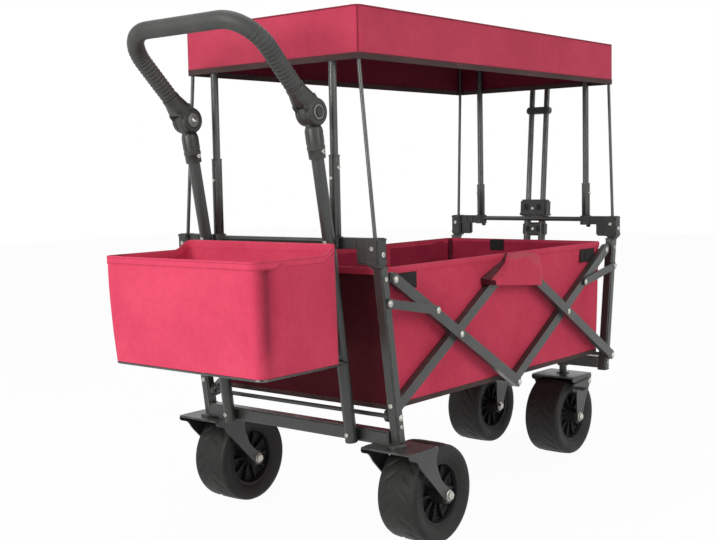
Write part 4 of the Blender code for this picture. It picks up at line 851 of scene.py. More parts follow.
@dataclass
class Tub:
    """The fabric tub between the end frames, with its hoods over the top hubs."""

    half_top: float = 0.4
    half_bottom: float = 0.384
    half_width: float = 0.2075
    bottom: float = 0.2425
    top: float = 0.4935
    corner: float = 0.014
    cloth: float = 0.0016
    rows: int = 26
    hood_reach: float = 0.2405
    hood_back: float = 0.0945
    hood_front: float = 0.155
    hood_peak: float = 0.5066
    hood_start: float = 0.4912
    hood_rise: float = 0.4624
    hood_fall: float = 0.3
    hem_middle: float = 0.4306
    hem_slope: float = 0.086
    cheek: float = -0.0905
    tuck_end: float = -0.018
    tab_height: float = 0.4665
    wall_tab: tuple[float, float] = (0.067, 0.4795)
    folds: list[Fold] = field(default_factory=lambda: [
        Fold((-0.36, 0.47), (-0.22, 0.4), 0.016, -0.0035), Fold((0.34, 0.47), (0.22, 0.42), 0.014, -0.0035),
        Fold((0.37, 0.46), (0.3, 0.36), 0.012, -0.003), Fold((-0.37, 0.44), (-0.34, 0.3), 0.015, -0.003),
        Fold((-0.04, 0.42), (-0.06, 0.28), 0.022, -0.003), Fold((0.05, 0.41), (0.02, 0.3), 0.018, -0.0025),
        Fold((0.16, 0.45), (0.24, 0.33), 0.02, -0.0025), Fold((-0.2, 0.44), (-0.3, 0.31), 0.024, -0.003),
        Fold((-0.12, 0.3), (-0.02, 0.25), 0.014, -0.0025), Fold((0.1, 0.27), (0.3, 0.25), 0.01, 0.0015),
    ])

    def wall_point(self, loop: Vector, share: float) -> Vector:
        """A point of the wall at a share of its height, with belly and folds."""
        ends = mix(self.half_bottom, self.half_top, share) / self.half_top
        point = Vector((loop.x * ends, loop.y, mix(self.bottom, self.top, share)))
        belly = math.sin(math.pi * share)
        if abs(point.y) > self.half_width - 0.001:
            side = math.copysign(1.0, point.y)
            push = sum(fold.push(-side * point.x, point.z) for fold in self.folds)
            push += 0.0016 * belly + 0.0012 * ripple(point, 14.0, side * 3.0) * belly
            point.y += side * min(push, 0.0022)
        elif abs(point.x) > self.half_bottom - 0.02:
            end = math.copysign(1.0, point.x)
            point.x += end * (0.0024 * belly + 0.0022 * ripple(point, 11.0, end * 5.0) * belly)
        return point

    def build(self) -> None:
        """Make the walls and floor, the hoods, hems, tabs and stitching."""
        loop = box_loop(self.half_top, -self.half_top, self.half_width, self.corner, 0.009)
        maker = Maker()
        walls = [[self.wall_point(point, row / self.rows) for point in loop]
                 for row in range(self.rows, -1, -1)]
        floor = []
        for step in range(1, 13):
            share = 1.0 - step / 12.0
            floor.append([Vector((point.x * share, point.y * share, point.z)) for point in walls[-1]])
        maker.grid(walls + floor, wrap=True)
        # The tub's inner side and its rear end wall get darker copies of the cloth: painted shade.
        tub = maker.piece("tub_fabric_sewn", TUB_CLOTH, "rear_frame", ("tub_fabric",),
                          thickness=self.cloth, sharp=70.0, lining=TUB_INSIDE_SHADE,
                          panel=(REAR_WALL_SHADE, lambda place: place.x < -self.half_bottom + 0.004))
        pieces = [self.rim(loop), self.bottom_binding(loop), self.hood(1.0), self.hood(-1.0), self.tucks(),
                  *self.tabs()]
        for piece in [tub, *pieces]:
            fold_up(piece)

    def rim(self, loop: Sequence[Vector]) -> bpy.types.Object:
        """The turned hem along the top edge, with its row of stitches below."""
        maker = Maker()
        section = [(-0.0016, -0.011), (0.0014, -0.011), (0.0021, -0.002), (0.0012, 0.0014), (-0.001, 0.0014),
                   (-0.0018, -0.002)]
        self.band(maker, loop, section, self.top - 0.001)
        share = (self.top - 0.0098 - self.bottom) / (self.top - self.bottom)
        maker.sew_round([self.wall_point(point, share) for point in loop], 0.0016)
        return maker.piece("tub_top_hem", TUB_CLOTH, "rear_frame", sharp=80.0)

    def band(self, maker: Maker, loop: Sequence[Vector], section: Sequence[tuple[float, float]],
             height: float) -> None:
        """Run a section of (outwards, upwards) steps along the wall at a height."""
        share = (height - self.bottom) / (self.top - self.bottom)
        maker.edging([self.wall_point(point, share) for point in loop], outwards(loop), section)

    def bottom_binding(self, loop: Sequence[Vector]) -> bpy.types.Object:
        """The dark binding sewn round the bottom edge."""
        maker = Maker()
        section = [(-0.0022, 0.0), (0.0012, 0.0), (0.0014, 0.009), (-0.0018, 0.009)]
        self.band(maker, loop, section, self.bottom)
        return maker.piece("tub_bottom_binding", BINDING, "rear_frame", sharp=80.0)

    def hood(self, side: float) -> bpy.types.Object:
        """The cloth that passes over the top hub, stretched over the bars and open at its lower edge."""
        word = "left" if side > 0 else "right"
        wall = self.half_width - 0.001
        rows = []
        for across in range(105):
            x = mix(-self.hood_back, self.hood_front, across / 104.0)
            fade = ease((self.hood_front - x) / 0.085) * ease((x + self.hood_back) / 0.004)
            row = []
            for step in range(35):
                z = mix(self.top - 0.0006, self.hem_height(x), step / 34.0)
                share = self.lift(x, z) * ease((self.top - z) / 0.01 + 0.06) * fade
                out = mix(wall, self.hood_reach, share)
                out += 0.0009 * ripple(Vector((x, 0.0, z)), 34.0, 9.0 * side) * share
                row.append(Vector((x, side * out, z)))
            rows.append(row)
        maker = Maker()
        maker.grid(rows)
        # The hood's narrow rear face gets the dark cloth of painted shade.
        return maker.piece("hub_hood_" + word, TUB_CLOTH, "rear_frame",
                           thickness=0.0012, sharp=70.0, panel=(SHADE_CLOTH, self.in_cheek))

    def in_cheek(self, place: Vector) -> bool:
        """Whether a place lies on the hood's narrow rear face, which gets the dark cloth of painted shade
        that stands for the tuck's shade.
        """
        return place.x < self.cheek

    def ridge(self, x: float) -> float:
        """The height of the line where the hood leaves the wall."""
        if x > 0.0:
            return self.hood_peak - self.hood_fall * x
        step = (self.hood_peak - self.hood_start) * ease((x + 0.034) / 0.026)
        return self.hood_start + self.hood_rise * x + step

    def lift(self, x: float, z: float) -> float:
        """How far the hood stands off the wall at a place, from 0 to 1."""
        width = 0.007 if x < 0.0 else mix(0.007, 0.06, ease(x / 0.06))
        return 1.0 - ease((z - self.ridge(x) + width / 2.0) / width)

    def hem_height(self, x: float) -> float:
        """The height of the hood's lower edge."""
        return self.hem_middle - self.hem_slope * x

    def tucks(self) -> bpy.types.Object:
        """A dark strip of painted shade along the steep edge of each hood, in the tuck next to the rising
        bar.
        """
        maker = Maker()
        for side, _ in SIDES:
            rows = []
            for step in range(41):
                x = mix(-self.hood_back, self.tuck_end, step / 40.0)
                half = 0.0016 * math.sqrt(max(0.05, 1.0 - step / 40.0))
                row = []
                for across in range(5):
                    z = self.ridge(x) + 0.0006 + mix(half, -half, across / 4.0)
                    out = mix(self.half_width - 0.001, self.hood_reach, self.lift(x, z))
                    row.append(Vector((x - 0.0008, side * out, z + 0.0012)))
                rows.append(row)
            maker.grid(rows)
        return maker.piece("hood_edge_tucks", SHADE_CLOTH, "rear_frame", thickness=0.0006)

    def tabs(self) -> list[bpy.types.Object]:
        """Dark strips of painted shade in the tub's inner corners, laid like seam bindings, and the black
        webbing tabs at the bar ends and on the end walls.
        """
        maker = Maker()
        for end in (-1.0, 1.0):
            for side, _ in SIDES:
                low, high = (Vector((end * (half - 0.0075), side * (self.half_width - 0.0075), z))
                             for half, z in ((self.half_bottom, self.bottom + 0.008),
                                             (self.half_top, self.top - 0.002)))
                turn = axis_place((0.0, 0.0, 0.0), tuple(high - low)).to_3x3()
                turn = turn @ Matrix.Rotation(math.radians(45.0 * end * side), 3, "Z")
                maker.box(tuple((low + high) / 2.0), (0.0014, 0.009, (high - low).length), 0.0005, turn)
        made = [maker.piece("tub_corner_painted_shade", SHADE_CLOTH, "rear_frame")]
        for side, word in SIDES:
            maker = Maker()
            for x in (-0.335, 0.333):
                for proud, size, edge in ((0.0014, (0.064, 0.0016, 0.029), 0.0006),
                                          (0.0024, (0.03, 0.0014, 0.021), 0.0005)):
                    maker.box((x, side * (self.half_width + proud), self.tab_height), size, edge)
            made.append(maker.piece("bar_end_tabs_" + word, WEBBING, "rear_frame"))
        maker = Maker()
        for end in (-1.0, 1.0):
            x = end * (mix(self.half_bottom, self.half_top, 0.93) - 0.0034)
            maker.box((x, *self.wall_tab), (0.0016, 0.038, 0.026), 0.0006)
            maker.box((x - end * 0.0012, *self.wall_tab), (0.0014, 0.026, 0.018), 0.0005)
        made.append(maker.piece("end_wall_tabs", WEBBING, "rear_frame"))
        return made


def fold_up(piece: bpy.types.Object) -> None:
    """Crumple a soft piece towards the rear frame as the wagon folds."""
    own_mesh(piece)


@dataclass
class FloorMat:
    """Stiff boards in a cloth cover, hinged by sewn seams."""

    half_length: float = 0.372
    half_width: float = 0.1955
    bottom: float = 0.2444
    thickness: float = 0.005
    boards: int = 4

    def build(self) -> None:
        """Make the cover with its seams and its edge eased down."""
        maker = Maker()
        each = 2.0 * self.half_length / self.boards
        columns = 96
        rows = 44
        grid = []
        for row in range(rows + 1):
            y = mix(-self.half_width, self.half_width, row / rows)
            line = []
            for column in range(columns + 1):
                x = mix(-self.half_length, self.half_length, column / columns)
                seam = abs((x + self.half_length + each / 2.0) % each - each / 2.0)
                edge = min(self.half_width - abs(y), self.half_length - abs(x))
                rise = self.thickness * ease(seam / 0.01 * 0.9 + 0.1) * ease(edge / 0.006 + 0.1)
                rise += 0.0003 * ripple(Vector((x, y, 0.0)), 30.0, 2.0)
                line.append(Vector((x, y, self.bottom + max(rise, 0.0008))))
            grid.append(line)
        maker.grid(grid)
        cover = maker.piece("floor_mat_cover", MAT_CLOTH, "rear_frame", ("floor_mat",), sharp=70.0,
                            thickness=0.0006)
        fold_up(cover)


@dataclass
class Basket:
    """The tail basket behind the handle legs: a sewn box that sags between its hem and its wire."""

    front_top: float = -0.4856
    front_bottom: float = -0.4806
    back_top: float = -0.69
    back_bottom: float = -0.676
    half_width: float = 0.182
    bottom: float = 0.337
    top: float = 0.5235
    rise: float = 0.0165
    corner: float = 0.016
    cloth: float = 0.0018
    rows: int = 22
    folds: list[Fold] = field(default_factory=lambda: [
        Fold((-0.15, 0.5), (-0.17, 0.36), 0.01, -0.003), Fold((0.14, 0.5), (0.16, 0.37), 0.012, -0.003),
        Fold((-0.05, 0.48), (-0.08, 0.37), 0.03, -0.0018), Fold((0.06, 0.47), (0.04, 0.36), 0.026, 0.0016),
    ])

    def wall_point(self, loop: Vector, share: float) -> Vector:
        """A point of the wall at a share of its height."""
        front = mix(self.front_bottom, self.front_top, share)
        back = mix(self.back_bottom, self.back_top, share)
        along = (loop.x - self.back_top) / (self.front_top - self.back_top)
        top = self.top + self.rise * ease((along - 0.8) / 0.18)
        point = Vector((mix(back, front, along), loop.y, mix(self.bottom, top, share)))
        belly = math.sin(math.pi * share)
        if along < 0.03:
            push = sum(fold.push(point.y, point.z) for fold in self.folds)
            point.x -= 0.0035 * belly + push + 0.0015 * ripple(point, 16.0, 4.0) * belly
        elif abs(point.y) > self.half_width - 0.001:
            side = math.copysign(1.0, point.y)
            slack = ease(share / 0.35) * ease((1.03 - share) / 0.14)
            crease = 0.55 * math.exp(-((along - 0.165 - 0.02 * share) / 0.055) ** 2)
            swell = math.exp(-((along - 0.285 - 0.03 * share) / 0.06) ** 2)
            tug = math.exp(-((along - 0.82) / 0.1) ** 2) * math.sin(38.0 * point.z)
            point.y += side * (0.002 * belly - 0.0095 * crease * slack + 0.003 * swell * slack
                               - 0.0012 * tug + 0.0015 * ripple(point, 18.0, side) * belly)
        return point

    def build(self) -> None:
        """Make the walls and floor, the hem and its stitches."""
        loop = box_loop(self.front_top, self.back_top, self.half_width, self.corner, 0.008)
        walls = [[self.wall_point(point, row / self.rows) for point in loop]
                 for row in range(self.rows, -1, -1)]
        middle = Vector((0.5 * (self.front_bottom + self.back_bottom), 0.0, self.bottom))
        floor = []
        for step in range(1, 13):
            share = 1.0 - step / 12.0
            row = []
            for point in walls[-1]:
                made = middle + (point - middle) * share
                made.z = self.bottom - 0.0045 * (1.0 - share ** 2)
                row.append(made)
            floor.append(row)
        maker = Maker()
        maker.grid(walls + floor, wrap=True)
        # The basket's sides carry painted shade: darker sides, a painted shadow band near the rear corners
        # and painted shade in the top fold.
        basket = maker.piece("basket_sewn", BASKET_CLOTH, "rear_frame", ("basket_fabric",),
                             thickness=self.cloth, sharp=70.0, painted_fold_shade=self.painted_fold_shade)
        maker = Maker()
        line = [self.wall_point(point, 0.995) for point in loop]
        for drop in (0.002, 0.0115):
            maker.sew_round([point - Vector((0.0, 0.0, drop)) for point in line], 0.0009)
        pieces = [self.hem(loop), maker.piece("basket_stitches", THREAD, "rear_frame")]

    def painted_fold_shade(self, place: Vector) -> float:
        """Painted shade on the basket's sides, from 0 to 0.85: an even darkening of each whole side, a
        painted shadow band beside the corners of its rear face, and painted shade in the fold at its top.
        """
        along = (place.x - self.back_top) / (self.front_top - self.back_top)
        share = (place.z - self.bottom) / (self.top - self.bottom)
        side = ease((abs(place.y) - self.half_width + 0.016) / 0.01) * ease((along - 0.035) / 0.03)
        fold = math.exp(-((along - 0.15) / 0.065) ** 2) * mix(0.25, 1.0, ease(share / 0.4))
        tuck = math.exp(-((along - 0.16) / 0.12) ** 2) * math.exp(-((share - 0.955) / 0.035) ** 2)
        return side * min(0.85, 0.14 + 0.62 * fold + 0.62 * tuck)

    def hem(self, loop: Sequence[Vector]) -> bpy.types.Object:
        """The wide turned hem along the top edge."""
        maker = Maker()
        section = [(-0.0021, -0.013), (0.0006, -0.0132), (0.0009, -0.012), (0.001, -0.002),
                   (0.0006, 0.0008), (-0.0014, 0.0008), (-0.0022, -0.002)]
        maker.edging([self.wall_point(point, 0.995) for point in loop], outwards(loop), section)
        return maker.piece("basket_hem", BASKET_CLOTH, "rear_frame", sharp=80.0)


@dataclass
class Canopy:
    """The fabric roof on its two hoops: one curved sheet with a valance, bound along its lower edge."""

    half_length: float = 0.4565
    half_width: float = 0.21
    bottom: float = 0.8485
    eave: float = 0.938
    crown: float = 0.016
    corner: float = 0.01
    cloth: float = 0.0014

    def roof_height(self, x: float, y: float) -> float:
        """The roof's height over a place, crowned between the hoops and dented by its own weight."""
        along = 1.0 - min(abs(x) / self.half_length, 1.0) ** 2
        across = 1.0 - min(abs(y) / self.half_width, 1.0) ** 2
        dent = 0.0016 * ripple(Vector((x, y, 0.0)), 7.0, 6.0) * along * across
        return self.eave + self.crown * along * across + dent

    def build(self) -> None:
        """Make the sheet, its binding, its piping and its stitches."""
        loop = box_loop(self.half_length, -self.half_length, self.half_width, self.corner, 0.007)
        rows = []
        drop = self.eave - 0.004 - self.bottom
        crease = Fold((0.195, 0.932), (0.16, 0.855), 0.006, -0.0026)
        for step in range(18):
            share = step / 17.0
            z = self.bottom + drop * share
            row = []
            for point in loop:
                out = Vector((point.x / self.half_length, point.y / self.half_width, 0.0))
                slack = 0.0016 * math.sin(math.pi * share)
                slack += 0.0012 * ripple(Vector((point.x, point.y, z)), 9.0, 1.0)
                slack += crease.push(point.y, z) if out.x < -0.99 else 0.0
                side = Vector((round(out.x * 0.501), round(out.y * 0.501), 0.0))
                row.append(Vector((point.x, point.y, z)) + side * slack * (1.0 - share))
            rows.append(row)
        spine = self.half_length - self.half_width
        for step in range(25):
            share = 1.0 - step / 24.0
            inset = 0.003 if step else 0.0015
            row = []
            for point in loop:
                near = Vector((min(max(point.x, -spine), spine), 0.0, 0.0))
                reach = point - near
                place = near + reach * (share - inset / reach.length if share else 0.0)
                z = self.roof_height(place.x, place.y)
                if not step:
                    z = self.eave - 0.0012
                row.append(Vector((place.x, place.y, z)))
            rows.append(row)
        maker = Maker()
        maker.grid(rows, wrap=True)
        # The sheet's underside gets a darker copy of the cloth: painted shade.
        roof = maker.piece("canopy_sheet", CANOPY_CLOTH, "canopy_rear", ("canopy_fabric",),
                           thickness=self.cloth, sharp=60.0, weld=0.0001, lining=CANOPY_UNDERSIDE_SHADE)
        trims = [self.binding(loop), self.piping(loop), self.seams(loop)]
        for piece in [roof, *trims]:
            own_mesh(piece)

    def edge(self, loop: Sequence[Vector], section: Sequence[tuple[float, float]], height: float) -> Maker:
        """Run a section of (outwards, upwards) steps round the canopy at a height."""
        maker = Maker()
        maker.edging([Vector((point.x, point.y, height)) for point in loop], outwards(loop), section)
        return maker

    def binding(self, loop: Sequence[Vector]) -> bpy.types.Object:
        """The dark binding folded over the lower edge."""
        section = [(-0.0026, 0.01), (-0.0026, -0.0006), (0.0012, -0.0006), (0.0014, 0.01)]
        return self.edge(loop, section, self.bottom).piece("canopy_binding", BINDING, "canopy_rear",
                                                           sharp=80.0)

    def seams(self, loop: Sequence[Vector]) -> bpy.types.Object:
        """The stitches along the binding and the upright seam at each corner."""
        maker = Maker()
        maker.sew_round([Vector((point.x, point.y, self.bottom + 0.0076)) for point in loop], 0.0014)
        for end in (1.0, -1.0):
            for side in (1.0, -1.0):
                x = end * (self.half_length - 0.0029)
                y = side * (self.half_width - 0.0029)
                maker.rod((x, y, self.bottom + 0.002), (x, y, self.eave - 0.003), 0.0011, 10)
        return maker.piece("canopy_stitches", THREAD, "canopy_rear")

    def piping(self, loop: Sequence[Vector]) -> bpy.types.Object:
        """The sewn seam that runs round the eave."""
        section = [(0.0014 * math.cos(math.radians(turn)), 0.0014 * math.sin(math.radians(turn)))
                   for turn in range(0, 360, 60)]
        return self.edge(loop, section, self.eave - 0.0022).piece("canopy_seam", THREAD, "canopy_rear",
                                                                  sharp=80.0)


# Frame and scissors


@dataclass
class Scissors:
    """The crossing bars of both sides, the links at their ends and the bright rivets that hold them."""

    half_bay: float = 0.201
    low: float = 0.236
    high: float = 0.478
    width: float = 0.02
    thickness: float = 0.012
    inner: float = 0.2175
    outer: float = 0.23
    edge: float = 0.0028
    rod: float = 0.004
    link_width: float = 0.016
    link_thickness: float = 0.004
    rear_link: float = 0.2463
    front_link: float = 0.2258
    link_post: tuple[float, float] = (0.4305, 0.437)
    link_bar: tuple[float, float] = (0.29145, 0.41145)

    def bars(self, name: str, body: str, nodes: Sequence[str], start: tuple[float, float],
             end: tuple[float, float], y: float, rod: tuple[float, float] | None = None) -> None:
        """A bar on each side, with the rod that joins them.

        Args:
            name: the piece's name.
            body: the moving body that it rides on.
            nodes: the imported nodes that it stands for.
            start: one end as (x, z).
            end: the other end.
            y: the middle of the bar's layer.
            rod: where a cross rod lies and how far it reaches each way.
        """
        maker = Maker()
        half = self.thickness / 2.0
        for side, _ in SIDES:
            maker.plate(stadium(start, end, self.width), side * y - half, side * y + half, self.edge, 3)
        if rod:
            maker.rod((rod[0], -rod[1], self.low), (rod[0], rod[1], self.low), self.rod)
        maker.piece(name, COAT, body, nodes, flats=True)

    def rivets(self, name: str, body: str, spots: Sequence[tuple[float, float, float]]) -> None:
        """Zinc rivets on both sides, at (x, z, face) places."""
        maker = Maker()
        for x, z, face in spots:
            for side, _ in SIDES:
                maker.rivet(x, face, z, side)
        maker.piece(name, ZINC, body)

    def build(self) -> None:
        """Make the bars, the links and every rivet."""
        pivot = 2.0 * self.half_bay
        middle = (self.low + self.high) / 2.0
        face = self.outer + self.thickness / 2.0
        seat = face + 0.0003
        inner_face = self.inner + self.thickness / 2.0
        self.bars("rising_bars_rear", "rising_rear", ["rising_frame_rear"], (-pivot, self.low),
                  (0.0, self.high), self.inner, (-pivot, 0.2443))
        self.bars("rising_bars_front", "rising_front", ["rising_frame_front"], (0.0, self.low),
                  (pivot, self.high), self.inner, (0.0, seat))
        self.bars("falling_bars_front", "falling_front", ["falling_frame_front"], (0.0, self.high),
                  (pivot, self.low), self.outer, (pivot, face))
        self.bars("falling_bars_rear", "falling_rear", ["falling_bar_rear_left", "falling_bar_rear_right"],
                  (-pivot, self.high), (0.0, self.low), self.outer)
        self.rivets("rivets_rising_rear", "rising_rear", [(-self.half_bay, middle, seat),
                                                          (0.0, self.high, seat), (-pivot, self.low, 0.2443)])
        self.rivets("rivets_rising_front", "rising_front", [(self.half_bay, middle, seat),
                                                            (0.0, self.low, seat),
                                                            (pivot - 0.004, self.high - 0.003, inner_face)])
        self.rivets("rivets_falling_rear", "falling_rear", [(-pivot + 0.004, self.high - 0.003, face)])
        self.rivets("rivets_falling_front", "falling_front", [(pivot, self.low, face)])
        for end, sign, y in (("rear", -1.0, self.rear_link), ("front", 1.0, self.front_link)):
            post = (sign * self.link_post[0], self.link_post[1])
            bar = (sign * self.link_bar[0], self.link_bar[1])
            half = self.link_thickness / 2.0
            for side, word in SIDES:
                maker = Maker()
                maker.plate(stadium(post, bar, self.link_width), side * y - half, side * y + half, 0.0012, 2)
                maker.piece(f"{end}_link_bar_{word}", COAT, end + "_links", [f"{end}_link_{word}"],
                            flats=True)
            self.rivets(f"rivets_{end}_link_bar_end", end + "_links", [(*bar, y + half)])
            self.rivets(f"rivets_{end}_link_post_end", end + "_frame", [(*post, y + half + 0.0003)])


@dataclass
class EndFrame:
    """One end of the wagon: leaning posts, a lower beam, end plugs, bolts and, at the rear, bearings."""

    end: str
    sign: float
    post_y: float
    post_bottom: float
    beam_z: float
    sleeve_top: float
    post_top: float = 0.4987
    post_width: float = 0.02
    pivot_x: float = 0.4035
    pivot_z: float = 0.236
    lean: float = 0.136
    beam_x: float = 0.402
    beam_depth: float = 0.024
    beam_height: float = 0.025
    rail_x: float = 0.4475
    rail_z: float = 0.5415
    rail: float = 0.0055
    sleeve_y: float = 0.145
    sleeve: float = 0.0095
    clamp: float = 0.026
    clamp_bottom: float = 0.499
    clamp_top: float = 0.549
    crown_top: float = 0.1835

    @property
    def body(self) -> str:
        """The body that the whole end rides on."""
        return self.end + "_frame"

    def post_x(self, z: float) -> float:
        """The middle of a post at a height."""
        return self.sign * (self.pivot_x + (z - self.pivot_z) * self.lean)

    def build(self) -> None:
        """Make the posts with their beam, the top rail with its sleeves, and the clamps."""
        self.posts()
        self.top_rail()
        for side, word in SIDES:
            self.corner_clamp(side, word)

    def posts(self) -> None:
        """The welded frame, its weld beads, its plugs and its bolts."""
        half = self.post_width / 2.0
        maker = Maker()
        low = self.post_bottom
        high = self.post_top
        outline = [(self.post_x(z) + step, z)
                   for z, step in ((low, -half), (low, half), (high, half), (high, -half))]
        for side, _ in SIDES:
            y = side * self.post_y
            maker.plate(outline, y - half, y + half, 0.003, 3)
            weld_y = side * (self.post_y - half)
            x = self.sign * self.beam_x
            reach = (self.beam_depth / 2.0 - 0.001, self.beam_height / 2.0 - 0.001)
            ring = [Vector((x + turn_x * reach[0], weld_y, self.beam_z + turn_z * reach[1]))
                    for turn_x, turn_z in ((-1, -1), (1, -1), (1, 1), (-1, 1))]
            for first, second in zip(ring, ring[1:] + ring[:1]):
                count = 9
                bead = [first.lerp(second, step / count) for step in range(count + 1)]
                maker.sweep(bead, 0.0016, segments=8)
            if self.end == "rear":
                profile = [(0.0, 0.0075), (0.013, 0.0075), (0.0165, 0.006), (0.018, 0.0045),
                           (0.018, 0.0014), (0.0168, 0.0009), (0.0168, 0.0003), (0.0, 0.0003)]
                maker.turned(profile, Matrix.Translation((-0.402, y, self.crown_top)), 40)
        maker.box((self.sign * self.beam_x, 0.0, self.beam_z),
                  (self.beam_depth, 2.0 * (self.post_y - half + 0.001), self.beam_height), 0.003, steps=3)
        maker.piece(self.end + "_welded_frame", COAT, self.body, [self.end + "_end_frame"], flats=True)
        maker = Maker()
        for side, _ in SIDES:
            y = side * self.post_y
            top = self.post_top
            maker.box((self.post_x(top), y, top - 0.0012), (0.0212, 0.0212, 0.0032), 0.001)
            if self.end == "front":
                maker.box((self.post_x(self.post_bottom), y, self.post_bottom + 0.0008),
                          (0.0208, 0.0208, 0.0036), 0.0012)
        maker.piece(self.end + "_post_plugs", PLASTIC, self.body)
        maker = Maker()
        for side, _ in SIDES:
            outer = self.post_y + half
            for z in (self.pivot_z - 0.016, self.post_top - 0.02):
                maker.screw((self.post_x(z), side * outer, z), (0.0, side, 0.0), 0.004, 0.0018)
            maker.screw((self.post_x(0.258) + self.sign * half, side * self.post_y, 0.258),
                        (self.sign, 0.0, 0.0), 0.0044, 0.0022)
        maker.piece(self.end + "_post_screws", ZINC, self.body)

    def top_rail(self) -> None:
        """The rail and its two sleeves, each with a rolled mouth and a snap button."""
        x = self.sign * self.rail_x
        bottom = 0.5295
        maker = Maker()
        maker.rod((x, -self.sleeve_y, self.rail_z), (x, self.sleeve_y, self.rail_z), self.rail, 24)
        for side, _ in SIDES:
            place = Matrix.Translation((x, side * self.sleeve_y, 0.0))
            outer = self.sleeve
            top = self.sleeve_top
            profile = [(0.0076, bottom), (outer - 0.0004, bottom), (outer, bottom + 0.0006),
                       (outer, top - 0.0022), (outer + 0.0008, top - 0.0016), (outer + 0.0008, top - 0.0004),
                       (outer, top), (0.0078, top), (0.0076, top - 0.0006)]
            maker.turned(profile + profile[:1], place, 32)
        maker.piece(self.end + "_rail_and_sleeves", ROD_COAT, self.body, [self.end + "_top_rail"])
        maker = Maker()
        for side, _ in SIDES:
            maker.screw((x, side * (self.sleeve_y + self.sleeve), self.sleeve_top - 0.022), (0.0, side, 0.0),
                        0.0036, 0.0016)
            maker.screw((x + self.sign * self.sleeve, side * self.sleeve_y, self.sleeve_top - 0.04),
                        (self.sign, 0.0, 0.0), 0.003, 0.0014)
        maker.piece(self.end + "_sleeve_buttons", ZINC, self.body)

    def corner_clamp(self, side: float, word: str) -> None:
        """The black clamp on a post's top: block, arm, ribs, ring round the sleeve, and its screws."""
        x = self.sign * self.rail_x
        y = side * self.post_y
        middle = (self.clamp_top + self.clamp_bottom) / 2.0
        height = self.clamp_top - self.clamp_bottom
        maker = Maker()
        maker.box((x, y, middle), (self.clamp, self.clamp, height), 0.0035, steps=3)
        for band, proud in ((self.clamp_bottom + 0.0095, 0.0016), (self.clamp_top - 0.0035, 0.0012)):
            maker.box((x, y, band), (self.clamp + proud, self.clamp + proud, 0.005), 0.0018)
        arm_z = 0.539
        span = self.post_y - self.sleeve_y
        spot = side * (self.post_y + self.sleeve_y) / 2.0
        maker.box((x, spot, arm_z), (0.0128, span, 0.0186), 0.002)
        for step in (-0.0076, 0.0076):
            maker.box((x, spot, arm_z + step), (0.016, span, 0.0038), 0.0012)
        for share in (0.32, 0.56):
            spot = side * mix(self.sleeve_y, self.post_y, share)
            maker.box((x, spot, arm_z), (0.0152, 0.003, 0.017), 0.0008)
        maker.box((x, side * (self.post_y - 0.026), 0.518), (0.011, 0.03, 0.03), 0.003)
        ring = [(0.0098, arm_z - 0.0105), (0.0124, arm_z - 0.0105), (0.0135, arm_z - 0.0094),
                (0.0135, arm_z - 0.003), (0.0128, arm_z - 0.0024), (0.0128, arm_z + 0.0024),
                (0.0135, arm_z + 0.003), (0.0135, arm_z + 0.0094), (0.0124, arm_z + 0.0105),
                (0.0098, arm_z + 0.0105)]
        maker.turned(ring + ring[:1], Matrix.Translation((x, side * self.sleeve_y, 0.0)), 40)
        maker.box((x + self.sign * 0.0118, side * self.sleeve_y, arm_z - 0.0105), (0.005, 0.01, 0.012),
                  0.0014)
        maker.piece(f"{self.end}_clamp_{word}", PLASTIC, self.body, [f"{self.end}_corner_clamp_{word}"],
                    flats=True)
        maker = Maker()
        reach = self.clamp / 2.0
        maker.screw((x, side * (self.post_y + reach), middle - 0.003), (0.0, side, 0.0), 0.0046, 0.002)
        maker.screw((x + self.sign * reach, y, middle + 0.007), (self.sign, 0.0, 0.0), 0.004, 0.0018)
        maker.screw((x - self.sign * reach, y, middle + 0.007), (-self.sign, 0.0, 0.0), 0.004, 0.0018)
        maker.piece(f"{self.end}_clamp_screws_{word}", ZINC, self.body)


@dataclass
class CanopyHoop:
    """A bent wire and two round posts that lift one end of the canopy."""

    end: str
    sign: float
    post_y: float
    sleeve_top: float
    x: float = 0.4475
    sleeve_y: float = 0.145
    post: float = 0.007
    insert: float = 0.045
    wire: float = 0.0034
    wire_z: float = 0.9324
    wire_y: float = 0.2038
    knee: float = 0.8405
    foot: float = 0.5193

    def build(self) -> None:
        """Make the posts, the bent wire, and the clips that hold the wire on the posts."""
        x = self.sign * self.x
        low = self.sleeve_top - self.insert
        maker = Maker()
        for side, _ in SIDES:
            y = side * self.sleeve_y
            maker.rod((x, y, low), (x, y, self.wire_z), self.post, 28)
        corners = [(x, -self.post_y, self.foot), (x, -self.wire_y, self.knee), (x, -self.wire_y, self.wire_z),
                   (x, self.wire_y, self.wire_z), (x, self.wire_y, self.knee), (x, self.post_y, self.foot)]
        maker.sweep(rounded_path(corners, 0.012, 8), self.wire, segments=16)
        for side, _ in SIDES:
            maker.box((x, side * self.sleeve_y, self.wire_z + self.wire - 0.007), (0.015, 0.018, 0.014),
                      0.002)
        maker.piece(self.end + "_hoop_rods", ROD_COAT, "canopy_" + self.end, ["canopy_hoop_" + self.end])


# Wheels


